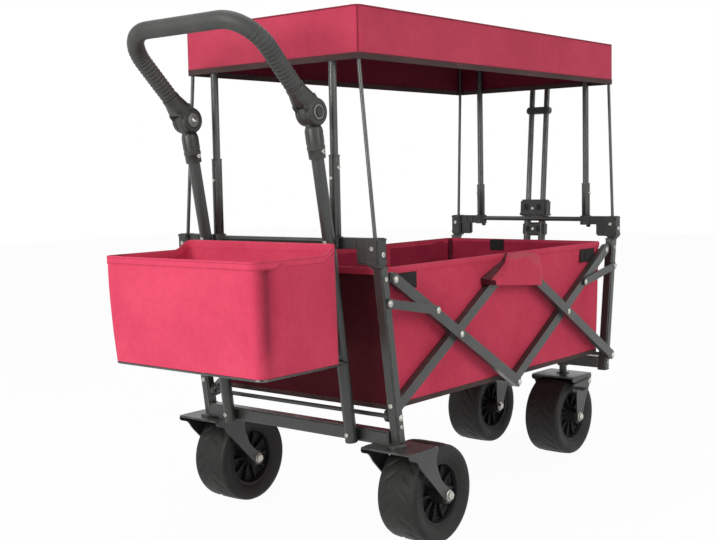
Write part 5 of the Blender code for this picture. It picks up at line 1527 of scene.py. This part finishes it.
@dataclass
class Wheel:
    """A wide moulded wheel: a hub with ribs and a tyre with curved grooves across its tread."""

    end: str
    word: str
    x: float
    y: float
    radius: float = 0.08903
    half_width: float = 0.042
    hub_radius: float = 0.058
    hub_half: float = 0.035
    boss: float = 0.0503
    ribs: int = 10

    def groove(self, radius: float, height: float, angle: float) -> float:
        """The tread's curved cross grooves, as a change of radius."""
        if radius < self.radius - 0.009:
            return 0.0
        sweep_angle = angle * 20.0 / (2.0 * math.pi) + abs(height / self.half_width) ** 1.2 * 1.5
        cross = abs(sweep_angle % 1.0 - 0.5) * 2.0
        cut = ease((cross - 0.66) / 0.24) * ease((abs(height) - 0.004) / 0.006)
        return -0.0017 * cut * ease((self.half_width - 0.008 - abs(height)) / 0.01)

    def build(self) -> None:
        """Make the tyre and the hub."""
        place = axis_place((self.x, self.y, self.radius), (0.0, 1.0, 0.0))
        half = self.half_width
        tread = self.radius
        side = [(self.hub_radius + 0.0005, half - 0.007), (self.hub_radius + 0.006, half - 0.0028),
                (tread - 0.014, half - 0.0002), (tread - 0.0105, half), (tread - 0.006, half - 0.001),
                (tread - 0.0028, half - 0.0034), (tread - 0.0012, half - 0.0072)]
        steps = 24
        face = [(tread - 0.001 * (2.0 * step / steps - 1.0) ** 4,
                 mix(half - 0.01, -half + 0.01, step / steps)) for step in range(steps + 1)]
        profile = side + face + [(radius, -height) for radius, height in reversed(side)]
        maker = Maker()
        maker.turned(profile, place, 192, self.groove)
        name = f"{self.end}_{self.word}"
        body = f"{self.end}_wheel_{self.word}"
        maker.piece("tread_" + name, RUBBER, body, ("tyre_" + name,), sharp=30.0)
        self.hub(place, name, body)

    def hub(self, place: Matrix, name: str, body: str) -> None:
        """The moulded hub: a rim, a dished web with ribs and a boss, on both faces."""
        maker = Maker()
        rim = self.hub_radius
        half = self.hub_half
        web = half - 0.014
        profile = [(0.0054, self.boss), (0.015, self.boss), (0.016, self.boss - 0.001),
                   (0.018, web + 0.004), (0.0205, web), (rim - 0.01, web), (rim - 0.0075, web + 0.002),
                   (rim - 0.006, half - 0.001),
                   (rim - 0.005, half), (rim + 0.0004, half), (rim + 0.0004, 0.0)]
        maker.turned(profile + [(radius, -height) for radius, height in reversed(profile[:-1])], place, 64)
        for index in range(self.ribs):
            turn = Matrix.Rotation(2.0 * math.pi * index / self.ribs, 4, "Z")
            for face in (-1.0, 1.0):
                spot = place @ turn @ Matrix.Translation((0.0335, 0.0, face * (web + 0.0038)))
                maker.box(spot.translation, (0.034, 0.0042, 0.0085), 0.0012, spot.to_3x3())
        maker.piece("hub_moulding_" + name, HUB_PLASTIC, body, ("hub_" + name,))


@dataclass
class Fork:
    """A pressed wheel fork: two cheeks, the crown plate that joins them, and the bolt through the wheel."""

    node: str
    word: str
    body: str
    y: float
    axle: float
    back: float
    front: float
    rear_edge: tuple[tuple[float, float], ...]
    front_edge: tuple[tuple[float, float], ...]
    stem: float = 0.0
    axle_z: float = 0.08903
    top: float = 0.1835
    lip: float = 0.0115
    inner: float = 0.051
    sheet: float = 0.003
    eye: float = 0.0135
    crown: float = 0.0038

    def outline(self) -> list[tuple[float, float]]:
        """A cheek's outline, down from its lip, round the eye and up again."""
        low = self.top - self.lip
        arc = [(self.axle + self.eye * math.cos(math.radians(turn)),
                self.axle_z + self.eye * math.sin(math.radians(turn))) for turn in range(205, 366, 20)]
        return [(self.back, self.top), (self.back, low), *self.rear_edge, *arc, *self.front_edge,
                (self.front, low), (self.front, self.top)]

    def build(self) -> None:
        """Make the pressed fork and its bolt."""
        maker = Maker()
        outline = softened(self.outline())
        reach = self.inner + self.sheet
        for side, _ in SIDES:
            low, high = sorted((self.y + side * self.inner, self.y + side * reach))
            maker.plate(outline, low, high, 0.0008)
        maker.box(((self.back + self.front) / 2.0, self.y, self.top - self.crown / 2.0),
                  (self.front - self.back, 2.0 * reach - 0.0008, self.crown), 0.0012)
        if self.stem:
            low = self.top - 0.001
            high = self.top + 0.0211
            maker.turned([(0.0, low), (0.015, low), (0.015, self.top + 0.0022), (0.009, self.top + 0.0032),
                          (0.0085, self.top + 0.005), (0.0085, high - 0.004), (0.013, high - 0.003),
                          (0.013, high), (0.0, high)], Matrix.Translation((self.stem, self.y, 0.0)), 32)
        maker.piece(f"{self.node}_pressed_{self.word}", CASTER_COAT, self.body,
                    [f"{self.node}_{self.word}"], flats=True)
        maker = Maker()
        for side, _ in SIDES:
            place = axis_place((self.axle, self.y + side * reach, self.axle_z), (0.0, side, 0.0))
            maker.turned([(0.0, -0.001), (0.0094, -0.001), (0.0094, 0.001), (0.0088, 0.0015), (0.0, 0.0015)],
                         place, 28)
            maker.turned([(0.0, 0.001), (0.0078, 0.001), (0.0078, 0.005), (0.0068, 0.006), (0.0, 0.006)],
                         place, 6)
        maker.rod((self.axle, self.y - reach, self.axle_z), (self.axle, self.y + reach, self.axle_z), 0.0048)
        axle = self.node.replace("fork", "axle")
        maker.piece(f"{axle}_bolt_{self.word}", ZINC, self.body, [f"{axle}_{self.word}"])


@dataclass
class BrakeLever:
    """A foot lever on the outer cheek of a front fork, with a ribbed pedal."""

    side: float
    word: str
    face: float = 0.1623
    pivot: tuple[float, float] = (0.424, 0.1655)
    toe: tuple[float, float] = (0.352, 0.16)
    width: float = 0.016
    sheet: float = 0.003
    pedal: Point = (0.02, 0.034, 0.004)

    def build(self) -> None:
        """Make the lever, its pad and its rivet."""
        maker = Maker()
        low, high = sorted((self.side * self.face, self.side * (self.face + self.sheet)))
        maker.plate(stadium(self.pivot, self.toe, self.width), low, high, 0.0008)
        middle = self.side * (self.face + self.pedal[1] / 2.0)
        maker.box((self.toe[0], middle, self.toe[1]), self.pedal, 0.0012)
        maker.piece("brake_plate_" + self.word, CASTER_COAT, "brake_" + self.word,
                    ["brake_lever_" + self.word], flats=True)
        maker = Maker()
        top = self.toe[1] + self.pedal[2] / 2.0
        for step in range(4):
            maker.box((self.toe[0] - 0.0069 + 0.0046 * step, middle + self.side * 0.0015, top + 0.0003),
                      (0.0022, self.pedal[1] - 0.006, 0.0012), 0.0004)
        maker.piece("brake_pad_" + self.word, PLASTIC, "brake_" + self.word)
        maker = Maker()
        maker.rivet(self.pivot[0], self.face + self.sheet, self.pivot[1], self.side, 0.0066, 0.0028)
        maker.piece("brake_rivet_" + self.word, ZINC, "front_frame")


# Tubes and handles


@dataclass
class PushHandle:
    """The bent push handle with its foam grip."""

    knuckle: tuple[float, float] = (-0.512, 0.76)
    reach: tuple[float, float] = (-0.655, 0.905)
    half_width: float = 0.152
    corner: float = 0.065
    tube: float = 0.011
    foam: float = 0.0155
    bare: float = 0.034
    knuckle_radius: float = 0.023

    def path(self, gap: float) -> list[Vector]:
        """The handle's centre line, starting a gap from the knuckle's rim."""
        knuckle = Vector((self.knuckle[0], 0.0, self.knuckle[1]))
        reach = Vector((self.reach[0], 0.0, self.reach[1]))
        start = knuckle + (reach - knuckle).normalized() * (self.knuckle_radius + gap)
        corners = [(start.x, -self.half_width, start.z), (reach.x, -self.half_width, reach.z),
                   (reach.x, self.half_width, reach.z), (start.x, self.half_width, start.z)]
        return rounded_path(corners, self.corner, 14)

    def build(self) -> None:
        """Make the tube and the grip, ribbed along its arms."""
        maker = Maker()
        maker.sweep(self.path(0.0045), self.tube, segments=24)
        maker.piece("push_tube_round", COAT, "push_handle", ("push_handle_tube",))
        fine = []
        path = self.path(self.bare)
        for before, after in zip(path, path[1:]):
            count = max(round((after - before).length / 0.0015), 1)
            fine.extend(before.lerp(after, index / count) for index in range(count))
        fine.append(path[-1])
        total = sum((after - before).length for before, after in zip(fine, fine[1:]))

        def swell(distance: float) -> float:
            """The grip's ribs along the arms, and its rounded ends."""
            end = min(distance, total - distance)
            rib = 0.035 * math.cos(2.0 * math.pi * distance / 0.0075)
            return (1.0 - 0.035 + rib * ease((0.125 - end) / 0.01)) * (0.94 + 0.06 * ease(end / 0.004))

        maker = Maker()
        maker.sweep(fine, self.foam, segments=28, swell=swell)
        maker.piece("push_grip_foam", FOAM, "push_handle", ("push_handle_foam",), sharp=60.0)


@dataclass
class HandleLegs:
    """The round legs that carry the push handle, with the knuckle sockets on their tops."""

    y: float = 0.152
    radius: float = 0.011
    foot: tuple[float, float] = (-0.4256, 0.187)
    bend: tuple[float, float] = (-0.474, 0.5415)
    knuckle: tuple[float, float] = (-0.512, 0.76)
    socket: float = 0.023
    socket_half: float = 0.007

    def build(self) -> None:
        """Make both legs, their plugs and bolts, and both sockets."""
        down = (Vector((self.bend[0], 0.0, self.bend[1])) - Vector((self.knuckle[0], 0.0, self.knuckle[1])))
        down.normalize()
        for side, word in SIDES:
            y = side * self.y
            centre = Vector((self.knuckle[0], y, self.knuckle[1]))
            top = centre + down * 0.0275
            maker = Maker()
            path = rounded_path([(self.foot[0], y, self.foot[1]), (self.bend[0], y, self.bend[1]),
                                 tuple(top)], 0.06, 8)
            maker.sweep(path, self.radius, segments=28)
            maker.piece("leg_tube_" + word, COAT, "rear_frame", ["handle_leg_" + word])
            maker = Maker()
            rim = self.socket
            half = self.socket_half
            profile = [(0.0, half), (rim - 0.0012, half), (rim, half - 0.0012), (rim, -half + 0.0012),
                       (rim - 0.0012, -half), (0.0, -half)]
            maker.turned(profile, axis_place(tuple(centre), (0.0, 1.0, 0.0)), 48)
            place = axis_place(tuple(centre), tuple(down))
            maker.box(tuple(centre + down * 0.018), (0.027, 2.0 * half, 0.024), 0.002, place.to_3x3())
            maker.turned([(0.0, 0.0243), (0.0132, 0.0243), (0.0148, 0.0275), (0.0148, 0.056),
                          (0.0156, 0.057), (0.0156, 0.062), (0.0148, 0.063), (0.0144, 0.0775),
                          (0.0138, 0.078), (0.0113, 0.078)], place, 40)
            for turn in range(8):
                spoke = place @ Matrix.Rotation(math.radians(45.0 * turn), 4, "Z")
                spot = spoke @ Matrix.Translation((0.0146, 0.0, 0.0415))
                maker.box(tuple(spot.translation), (0.0016, 0.003, 0.024), 0.0006, spot.to_3x3())
            maker.piece("knuckle_base_" + word, KNUCKLE_PLASTIC, "rear_frame", ["knuckle_socket_" + word])
            maker = Maker()
            bolt = centre + down * 0.066
            maker.screw((bolt.x, y + side * 0.015, bolt.z), (0.0, side, 0.0), 0.0042, 0.0022)
            maker.screw((bolt.x, y - side * 0.015, bolt.z), (0.0, -side, 0.0), 0.0042, 0.0022)
            for z in (0.201, 0.5405):
                share = (z - self.foot[1]) / (self.bend[1] - self.foot[1])
                x = mix(self.foot[0], self.bend[0], share)
                maker.screw((x - self.radius, y, z), (-1.0, 0.0, 0.0), 0.004, 0.002)
            maker.piece("leg_bolts_" + word, ZINC, "rear_frame")
            maker = Maker()
            foot = Matrix.Translation((self.foot[0], y, self.foot[1]))
            maker.turned([(0.0, -0.0002), (0.01, 0.0), (0.0114, 0.0012), (0.0114, 0.0052), (0.0108, 0.0058),
                          (0.0, 0.0058)], foot, 28)
            maker.piece("leg_plug_" + word, PLASTIC, "rear_frame")


@dataclass
class Knuckle:
    """The turning half of a knuckle: two round cheeks, the neck that holds the handle, and its button."""

    side: float
    word: str
    y: float = 0.152
    centre: tuple[float, float] = (-0.512, 0.76)
    reach: tuple[float, float] = (-0.655, 0.905)
    radius: float = 0.023
    cheek: float = 0.01
    gap: float = 0.0073

    def build(self) -> None:
        """Make the cheeks and the neck, the grey ring and the button."""
        along = Vector((self.reach[0] - self.centre[0], 0.0, self.reach[1] - self.centre[1])).normalized()
        middle = Vector((self.centre[0], self.side * self.y, self.centre[1]))
        body = "push_handle"
        maker = Maker()
        rim = self.radius
        for face in (1.0, -1.0):
            place = axis_place(tuple(middle + Vector((0.0, face * self.gap, 0.0))), (0.0, face, 0.0))
            profile = [(0.0, 0.0), (rim - 0.001, 0.0), (rim, 0.001), (rim, 0.0072), (rim - 0.0012, 0.009),
                       (rim - 0.003, self.cheek), (0.0155, self.cheek), (0.0148, 0.0088), (0.0135, 0.0088),
                       (0.013, self.cheek), (0.0, self.cheek)]
            maker.turned(profile, place, 48)
            block = middle + along * 0.016 + Vector((0.0, face * (self.gap + self.cheek / 2.0), 0.0))
            turn = axis_place((0.0, 0.0, 0.0), tuple(along)).to_3x3()
            maker.box(tuple(block), (0.036, self.cheek - 0.0012, 0.026), 0.003, turn, 3)
        rows = []
        half = self.gap + self.cheek
        across = Vector((0.0, 1.0, 0.0))
        out = along.cross(across)
        stations = ((0.0252, 0.016, half - 0.0006, 0.55), (0.03, 0.0168, half, 0.5),
                    (0.04, 0.0164, 0.0168, 0.75), (0.048, 0.0162, 0.0162, 1.0),
                    (0.0545, 0.0164, 0.0164, 1.0), (0.0565, 0.0158, 0.0158, 1.0),
                    (0.0568, 0.0118, 0.0118, 1.0))
        for reach, wide, deep, roundness in stations:
            row = []
            for step in range(40):
                turn = 2.0 * math.pi * step / 40.0
                x = math.copysign(abs(math.cos(turn)) ** roundness, math.cos(turn)) * wide
                y = math.copysign(abs(math.sin(turn)) ** roundness, math.sin(turn)) * deep
                row.append(middle + along * reach + out * x + across * y)
            rows.append(row)
        maker.grid(rows, wrap=True)
        maker.cap(rows[0])
        maker.piece("knuckle_yoke_" + self.word, KNUCKLE_PLASTIC, body, ["knuckle_caps_" + self.word])
        maker = Maker()
        for face in (1.0, -1.0):
            place = axis_place(tuple(middle + Vector((0.0, face * (self.gap + self.cheek), 0.0))),
                               (0.0, face, 0.0))
            inner = 0.009 if face == self.side else 0.0
            maker.turned([(inner, -0.001), (0.0128, -0.001), (0.0128, 0.0006), (0.012, 0.0012),
                          (inner + 0.0004 if inner else 0.0, 0.0012)], place, 40)
        maker.piece("knuckle_ring_" + self.word, TRIM, body)
        maker = Maker()
        place = axis_place(tuple(middle + Vector((0.0, -self.side * (self.gap + self.cheek), 0.0))),
                           (0.0, -self.side, 0.0))
        maker.turned([(0.0, 0.0034), (0.003, 0.0034), (0.0046, 0.0024), (0.005, 0.001), (0.0, 0.001)],
                     place, 24)
        maker.piece("knuckle_bolt_" + self.word, ZINC, body)
        maker = Maker()
        start = self.gap + 0.0036
        end = self.gap + self.cheek + 0.004
        place = axis_place(tuple(middle), (0.0, self.side, 0.0))
        maker.turned([(0.0, start), (0.0085, start), (0.0085, end - 0.0012), (0.0076, end - 0.0002),
                      (0.006, end - 0.0006), (0.003, end - 0.0012), (0.0, end - 0.0014)], place, 32)
        maker.piece("knuckle_push_" + self.word, PLASTIC, "button_" + self.word,
                    ["knuckle_button_" + self.word])


@dataclass
class PullHandle:
    """The telescoping pull handle, leaning against the front rail."""

    pivot: tuple[float, float] = (0.4335, 0.2175)
    lean: float = 5.097
    gap: float = 0.02
    outer: float = 0.0085
    inner: float = 0.0066
    foot: float = -0.011
    lower_length: float = 0.33
    collar: Point = (0.026, 0.072, 0.04)
    guide_x: float = 0.00155
    guide_depth: float = 0.0195
    inner_start: float = 0.215
    brace: float = 0.585
    grip: float = 0.69
    grip_radius: float = 0.0145
    grip_half: float = 0.051

    def place(self) -> Matrix:
        """The handle's own frame: its pivot, with Z along its tubes."""
        return (Matrix.Translation((self.pivot[0], 0.0, self.pivot[1]))
                @ Matrix.Rotation(math.radians(self.lean), 4, "Y"))

    def spot(self, x: float, y: float, z: float) -> Point:
        """A place given in the handle's own frame."""
        return tuple(self.place() @ Vector((x, y, z)))

    def block(self, maker: Maker, centre: Point, size: Point, bevel: float) -> None:
        """A rounded block in the handle's own frame."""
        maker.box(self.spot(*centre), size, bevel, self.place().to_3x3(), 3)

    def build(self) -> None:
        """Make the tubes, the collar and guide, the inner rods, the grip and the small parts."""
        maker = Maker()
        for side, _ in SIDES:
            y = side * self.gap
            maker.rod(self.spot(0.0, y, self.foot), self.spot(0.0, y, self.lower_length), self.outer, 28)
        self.block(maker, (0.0, 0.0, 0.03), (0.01, 0.04, 0.012), 0.0015)
        maker.piece("pull_lower_tubes", COAT, "pull_handle", ["pull_outer_tubes"])
        self.blocks()
        maker = Maker()
        for side, _ in SIDES:
            y = side * self.gap
            maker.rod(self.spot(0.0, y, self.inner_start), self.spot(0.0, y, self.grip - 0.004),
                      self.inner, 24)
        maker.piece("pull_upper_rods", ROD_COAT, "pull_inner", ["pull_inner_rods"])
        maker = Maker()
        self.block(maker, (0.0, 0.0, self.brace), (0.02, 0.0612, 0.016), 0.003)
        for side, _ in SIDES:
            self.block(maker, (0.0, side * self.gap, self.brace), (0.0226, 0.012, 0.012), 0.002)
        maker.piece("pull_brace_block", PLASTIC, "pull_inner", flats=True)
        self.hand_grip()

    def blocks(self) -> None:
        """The collar over the rail and the guide block under it, with their dark windows and screws."""
        low = self.lower_length + 0.0003
        maker = Maker()
        middle = low + self.collar[2] / 2.0
        self.block(maker, (0.0, 0.0, middle), self.collar, 0.004)
        self.block(maker, (0.0, 0.0, low + 0.0045), (self.collar[0] + 0.0014, self.collar[1] + 0.0024, 0.006),
                   0.002)
        self.block(maker, (0.0, 0.0, middle + 0.0155),
                   (self.collar[0] + 0.001, self.collar[1] - 0.01, 0.006), 0.002)
        guide = self.lower_length - 0.0305
        self.block(maker, (self.guide_x, 0.0, guide), (self.guide_depth, 0.06, 0.032), 0.0035)
        maker.piece("pull_collar_block", PLASTIC, "pull_handle", ["pull_collar"], flats=True)
        maker = Maker()
        for face in (-1.0, 1.0):
            for side, _ in SIDES:
                self.block(maker, (face * self.collar[0] / 2.0, side * 0.017, middle + 0.0015),
                           (0.0012, 0.013, 0.015), 0.0005)
                self.block(maker, (self.guide_x + face * self.guide_depth / 2.0, side * 0.014, guide),
                           (0.0012, 0.011, 0.014), 0.0005)
        maker.piece("pull_block_windows", HUB_PLASTIC, "pull_handle")
        maker = Maker()
        turn = self.place().to_3x3()
        for face in (-1.0, 1.0):
            axis = tuple(turn @ Vector((face, 0.0, 0.0)))
            maker.screw(self.spot(face * self.collar[0] / 2.0, 0.0, middle - 0.002), axis, 0.0036, 0.0016)
            maker.screw(self.spot(self.guide_x + face * self.guide_depth / 2.0, 0.0, guide), axis, 0.0036,
                        0.0016)
        maker.piece("pull_block_screws", ZINC, "pull_handle")

    def hand_grip(self) -> None:
        """The moulded grip across the rods, ribbed between its flanged ends."""
        maker = Maker()
        across = Matrix.Rotation(math.radians(-90.0), 4, "X")
        place = Matrix.Translation(self.spot(0.0, 0.0, self.grip)) @ across
        rim = self.grip_radius
        half = self.grip_half
        profile = [(0.0, -half), (rim - 0.003, -half), (rim, -half + 0.0025), (rim, -half + 0.009)]
        count = 18
        for step in range(count * 4 + 1):
            height = mix(-half + 0.01, half - 0.01, step / (count * 4.0))
            profile.append((rim - 0.0016 + 0.0008 * math.cos(math.pi * step / 2.0), height))
        profile += [(rim, half - 0.009), (rim, half - 0.0025), (rim - 0.003, half), (0.0, half)]
        maker.turned(profile, place, 36)
        maker.piece("pull_hand_grip", PLASTIC, "pull_inner", ["pull_grip"])


# Studio


@dataclass
class Studio:
    """Camera, lamps, world and floor."""

    eye: Point = (-1.9336, -1.4195, 0.6547)
    yaw: float = 39.54
    pitch: float = -4.78
    roll: float = -1.175
    lens: float = 57.18

    def camera(self) -> None:
        """Place the camera at the picture's viewing angle."""
        yaw, pitch, roll = (math.radians(value) for value in (self.yaw, self.pitch, self.roll))
        ahead = Vector((math.cos(yaw) * math.cos(pitch), math.sin(yaw) * math.cos(pitch), math.sin(pitch)))
        right = Vector((math.sin(yaw), -math.cos(yaw), 0.0))
        up = right.cross(ahead)
        turned_right = right * math.cos(roll) + up * math.sin(roll)
        turned_up = up * math.cos(roll) - right * math.sin(roll)
        data = bpy.data.cameras.new("camera")
        data.lens = self.lens
        data.sensor_width = 36.0
        data.sensor_fit = "HORIZONTAL"
        data.clip_end = 50.0
        made = bpy.data.objects.new("camera", data)
        turn = Matrix((turned_right, turned_up, -ahead)).transposed()
        place = Vector(self.eye) + Vector((WAGON_MIDDLE, 0.0, 0.0))
        made.matrix_world = Matrix.Translation(place) @ turn.to_4x4()
        bpy.context.scene.collection.objects.link(made)
        bpy.context.scene.camera = made

    def lamp(self, name: str, place: Point, size: float, watts: float) -> None:
        """A square soft box that faces the wagon."""
        data = bpy.data.lights.new(name, "AREA")
        data.size = size
        data.energy = watts
        made = bpy.data.objects.new(name, data)
        made.location = place
        aim = Vector((0.05, 0.0, 0.45)) - Vector(place)
        made.rotation_euler = aim.to_track_quat("-Z", "Y").to_euler()
        bpy.context.scene.collection.objects.link(made)

    def seen_directly(self, graph: Graph) -> bpy.types.NodeSocket:
        """One where the camera, a reflection or a refraction looks, and zero for the light itself."""
        path = graph.add("ShaderNodeLightPath")
        first = graph.math("MAXIMUM", path.outputs["Is Camera Ray"], path.outputs["Is Glossy Ray"])
        return graph.math("MAXIMUM", first, path.outputs["Is Transmission Ray"])

    def floor(self) -> None:
        """A pale floor that shows white and keeps the wagon's shadow."""
        material = bpy.data.materials.new("white_sweep")
        material.use_nodes = True
        graph = Graph(material.node_tree)
        shader = material.node_tree.nodes["Principled BSDF"]
        shader.inputs["Base Color"].default_value = (0.86, 0.86, 0.86, 1.0)
        shader.inputs["Roughness"].default_value = 0.9
        shader.inputs["Specular IOR Level"].default_value = 0.1
        glow = graph.add("ShaderNodeEmission", i0=(1.0, 1.0, 1.0, 1.0), i1=1.0)
        share = graph.math("MULTIPLY", self.seen_directly(graph), 0.96)
        both = graph.add("ShaderNodeMixShader", i0=share, i1=shader.outputs[0], i2=glow.outputs[0])
        graph.feed(both.outputs[0], material.node_tree.nodes["Material Output"].inputs["Surface"])
        mesh = bpy.data.meshes.new("floor")
        mesh.from_pydata([(-9.0, -9.0, 0.0), (9.0, -9.0, 0.0), (9.0, 9.0, 0.0), (-9.0, 9.0, 0.0)], [],
                         [(0, 1, 2, 3)])
        mesh.materials.append(material)
        made = bpy.data.objects.new("floor", mesh)
        bpy.context.scene.collection.objects.link(made)

    def world(self) -> None:
        """Soft light from all round, white where it is seen."""
        world = bpy.data.worlds.new("studio")
        bpy.context.scene.world = world
        world.use_nodes = True
        graph = Graph(world.node_tree)
        soft = graph.add("ShaderNodeBackground", i0=(1.0, 1.0, 1.0, 1.0), i1=0.42)
        seen = graph.add("ShaderNodeBackground", i0=(1.0, 1.0, 1.0, 1.0), i1=1.0)
        both = graph.add("ShaderNodeMixShader", i0=self.seen_directly(graph), i1=soft.outputs[0],
                         # Give a soft piece its own copy of its mesh.
                         i2=seen.outputs[0])
        graph.feed(both.outputs[0], world.node_tree.nodes["World Output"].inputs["Surface"])

    def build(self) -> None:
        """Set up the camera, the lamps, the floor and the world."""
        self.camera()
        self.lamp("key_lamp", (-3.2, 0.3, 1.5), 1.3, 60.0)
        self.lamp("fill_lamp", (-0.1, -3.4, 1.7), 1.8, 35.0)
        self.lamp("top_lamp", (0.4, 0.4, 3.2), 2.0, 24.0)
        self.floor()
        self.world()
        bpy.context.scene.view_settings.view_transform = "Standard"


@dataclass
class CarriedOver:
    """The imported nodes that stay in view; each gets its finish."""

    rods: tuple[str, ...] = ("basket_wire",)

    def build(self, frame: dict) -> None:
        """Give every node the finish of its slot, and the round rods their own.
        """
        by_slot = {slot.value: finish for slot, finish in SLOT_FINISH.items()}
        for name, node in frame["nodes"].items():
            if node.type != "MESH":
                continue
            for place in node.material_slots:
                label = place.material.name.split(".")[0] if place.material else "frame"
                finish = ROD_COAT if name in self.rods else by_slot.get(label, COAT)
                place.material = finish.material()


def build_wagon(frame: dict) -> None:
    """Build every sub-assembly in order.
    """
    Studio().build()
    CarriedOver().build(frame)
    Tub().build()
    FloorMat().build()
    Basket().build()
    Canopy().build()
    Scissors().build()
    for end in (EndFrame("rear", -1.0, 0.234, 0.19, 0.199, 0.69),
                EndFrame("front", 1.0, 0.2135, 0.202, 0.2175, 0.625)):
        end.build()
        CanopyHoop(end.end, end.sign, end.post_y, end.sleeve_top).build()
    HandleLegs().build()
    for side, word in SIDES:
        Knuckle(side, word).build()
    PullHandle().build()
    for side, word in SIDES:
        Wheel("rear", word, -0.323, side * 0.234).build()
        Wheel("front", word, 0.383, side * 0.108).build()
        Fork("caster_fork", word, "caster_" + word, side * 0.234, -0.323, -0.436, -0.352,
             ((-0.414, 0.169), (-0.4065, 0.154)),
             ((-0.3465, 0.121), (-0.3605, 0.156), (-0.36, 0.17))).build()
        Fork("front_fork", word, "front_frame", side * 0.108, 0.383, 0.35, 0.44,
             ((0.366, 0.169), (0.369, 0.156)), ((0.409, 0.121), (0.43, 0.156), (0.433, 0.17)),
             stem=0.402).build()
        BrakeLever(side, word).build()
    PushHandle().build()


def main() -> None:
    """Load the frame and dress the wagon."""
    logging.basicConfig(level=logging.INFO, format="%(name)s: %(message)s")
    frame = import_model()
    build_wagon(frame)


if __name__ == "__main__":
    main()
